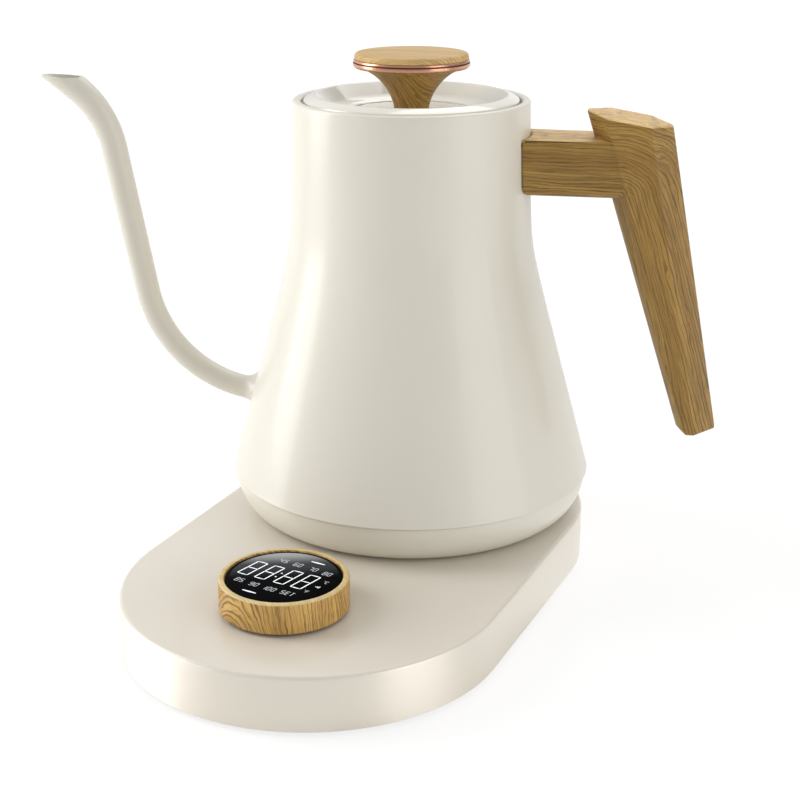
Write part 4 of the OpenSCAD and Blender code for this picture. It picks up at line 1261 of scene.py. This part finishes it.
def ray_kind(finish, *kinds):
    """One wire that is 1 for rays of the named kinds."""
    rays = finish.tree.nodes.new("ShaderNodeLightPath")
    wires = [Wire(finish, rays.outputs[kind]) for kind in kinds]
    return sum(wires[1:], wires[0])


def camera_sides(x, y):
    """How far a point or a direction lies away from the camera, and how far to its right."""
    c, s = cos(radians(CAMERA_AZIMUTH)), sin(radians(CAMERA_AZIMUTH))
    return y * c - x * s, x * c + y * s


def floor_finish():
    """White that keeps the object's shadow, glows for the camera and is clear from below."""
    finish = Finish("floor_white", Roughness=0.9)
    finish.set(Base_Color=rgb(*FLOOR_WHITE))
    x, y, z = finish.place()
    ahead, beside = camera_sides(x, y)
    out = (x * x + y * y) ** 0.5
    away = finish.ramp(out, (0.25, 0.74), (0.9, 1.0))
    near = finish.ramp(out, (0.2, 1.0), (0.3, 0.0))
    flagged = finish.ramp(finish.maths("ABSOLUTE", beside), (0.1, 0.7), (0.22, 1.0))
    patch = finish.ramp(beside, PATCH_FROM, PATCH_TO) * near
    behind = finish.ramp(ahead * 0.5 + 0.5, FRONT_SHADE, BACK_SHADE) * away * flagged
    bright = finish.maths("MAXIMUM", behind, patch)
    direct = ray_kind(finish, "Is Camera Ray", "Is Transmission Ray") * away
    mirrored = ray_kind(finish, "Is Glossy Ray") * bright
    seen = finish.maths("MINIMUM", direct + mirrored, 1.0)
    glow = finish.node("ShaderNodeEmission", None, {"Color": (1, 1, 1, 1), "Strength": FLOOR_GLOW})
    matt = Wire(finish, finish.shader.outputs[0])
    lit = finish.node("ShaderNodeMixShader", None, {0: seen, 1: matt, 2: glow})
    from_below = finish.node("ShaderNodeNewGeometry", out=6)
    clear = finish.node("ShaderNodeBsdfTransparent")
    both = finish.node("ShaderNodeMixShader", None, {0: from_below, 1: lit, 2: clear})
    output = finish.tree.nodes["Material Output"]
    finish.tree.links.new(both.socket, output.inputs["Surface"])
    return finish.material


deselect()
bpy.ops.mesh.primitive_plane_add(size=FLOOR_SIZE, location=(0, 0, -FLOOR_DROP * MM))
floor = bpy.context.object
floor.name = "floor"
floor.data.materials.append(floor_finish())

# %% [markdown]
# The surround gives a soft even light. Mirror images see it dimmer on the camera's side and to
# the right, and a little dimmer straight behind, which keeps the edges of the pale kettle darker
# than the white around it.

# %% Surround
AMBIENT = 0.57
NEAR_SIDE = 0.52
STRAIGHT_BEHIND = 0.7
RIGHT_SHADE = 0.6
surround = Finish("studio", bpy.data.worlds.new("studio"))
bpy.context.scene.world = surround.material
direction = surround.node("ShaderNodeTexCoord")
dx, dy = [surround.node("ShaderNodeSeparateXYZ", None, {0: direction}, out=i) for i in range(2)]
ahead, beside = camera_sides(dx, dy)
far_side = ahead * 0.5 + 0.5 - surround.maths("MAXIMUM", beside, 0.0) * RIGHT_SHADE
sides = (0.4, NEAR_SIDE), (0.75, 1.0), (0.9, 1.0), (1.0, STRAIGHT_BEHIND)
mirrored = ray_kind(surround, "Is Glossy Ray")
seen = surround.maths("MINIMUM", ray_kind(surround, "Is Camera Ray", "Is Transmission Ray"), 1.0)
lit = (1.0 - mirrored) * AMBIENT + mirrored * surround.ramp(far_side, *sides)
surround.set(Color=(1, 1, 1, 1), Strength=(1.0 - seen) * lit + seen)

# %% [markdown]
# ## Camera and lamps
# A tall softbox on the left draws the broad highlight down the body. A weaker one on the right
# lifts the far side, a thin strip next to it draws the narrow streak there, and a large one
# overhead evens the top.


# %% Camera and softboxes
CAMERA_AT = Vector((248.6, -568.0, 284.8)) * MM
CAMERA_PITCH = 19.34
CAMERA_LENS = 69.64
SENSOR_WIDTH = 36
LAMP_AIM = Vector((0, -20, 90)) * MM

azimuth, pitch = radians(CAMERA_AZIMUTH), radians(CAMERA_PITCH)
forward = Vector((-sin(azimuth) * cos(pitch), cos(azimuth) * cos(pitch), -sin(pitch)))
bpy.ops.object.camera_add(location=CAMERA_AT, rotation=forward.to_track_quat("-Z", "Y").to_euler())
camera = bpy.context.object
camera.data.lens = CAMERA_LENS
camera.data.sensor_width = SENSOR_WIDTH
bpy.context.scene.camera = camera


def softbox(name, turn, up, distance, size, power):
    """A rectangular lamp, in metres and watts, turned about the object from the camera's side."""
    around = radians(turn - 90 + CAMERA_AZIMUTH)
    place = Vector((distance * cos(around), distance * sin(around), up))
    look = (LAMP_AIM - place).to_track_quat("-Z", "Y").to_euler()
    bpy.ops.object.light_add(type="AREA", location=place, rotation=look)
    lamp = bpy.context.object
    lamp.name = name
    lamp.data.shape = "RECTANGLE"
    lamp.data.size, lamp.data.size_y = size
    lamp.data.energy = power
    print(f"{name}: {power} W")


softbox("key", -96, 0.55, 1.1, (0.55, 1.2), 10.3)
softbox("fill", 51, 0.45, 1.2, (0.62, 1.1), 3.4)
softbox("strip", 70, 0.3, 1.2, (0.12, 0.8), 0.7)
softbox("top", 150, 1.3, 0.7, (0.9, 0.9), 5)
bpy.context.scene.view_settings.view_transform = "Standard"
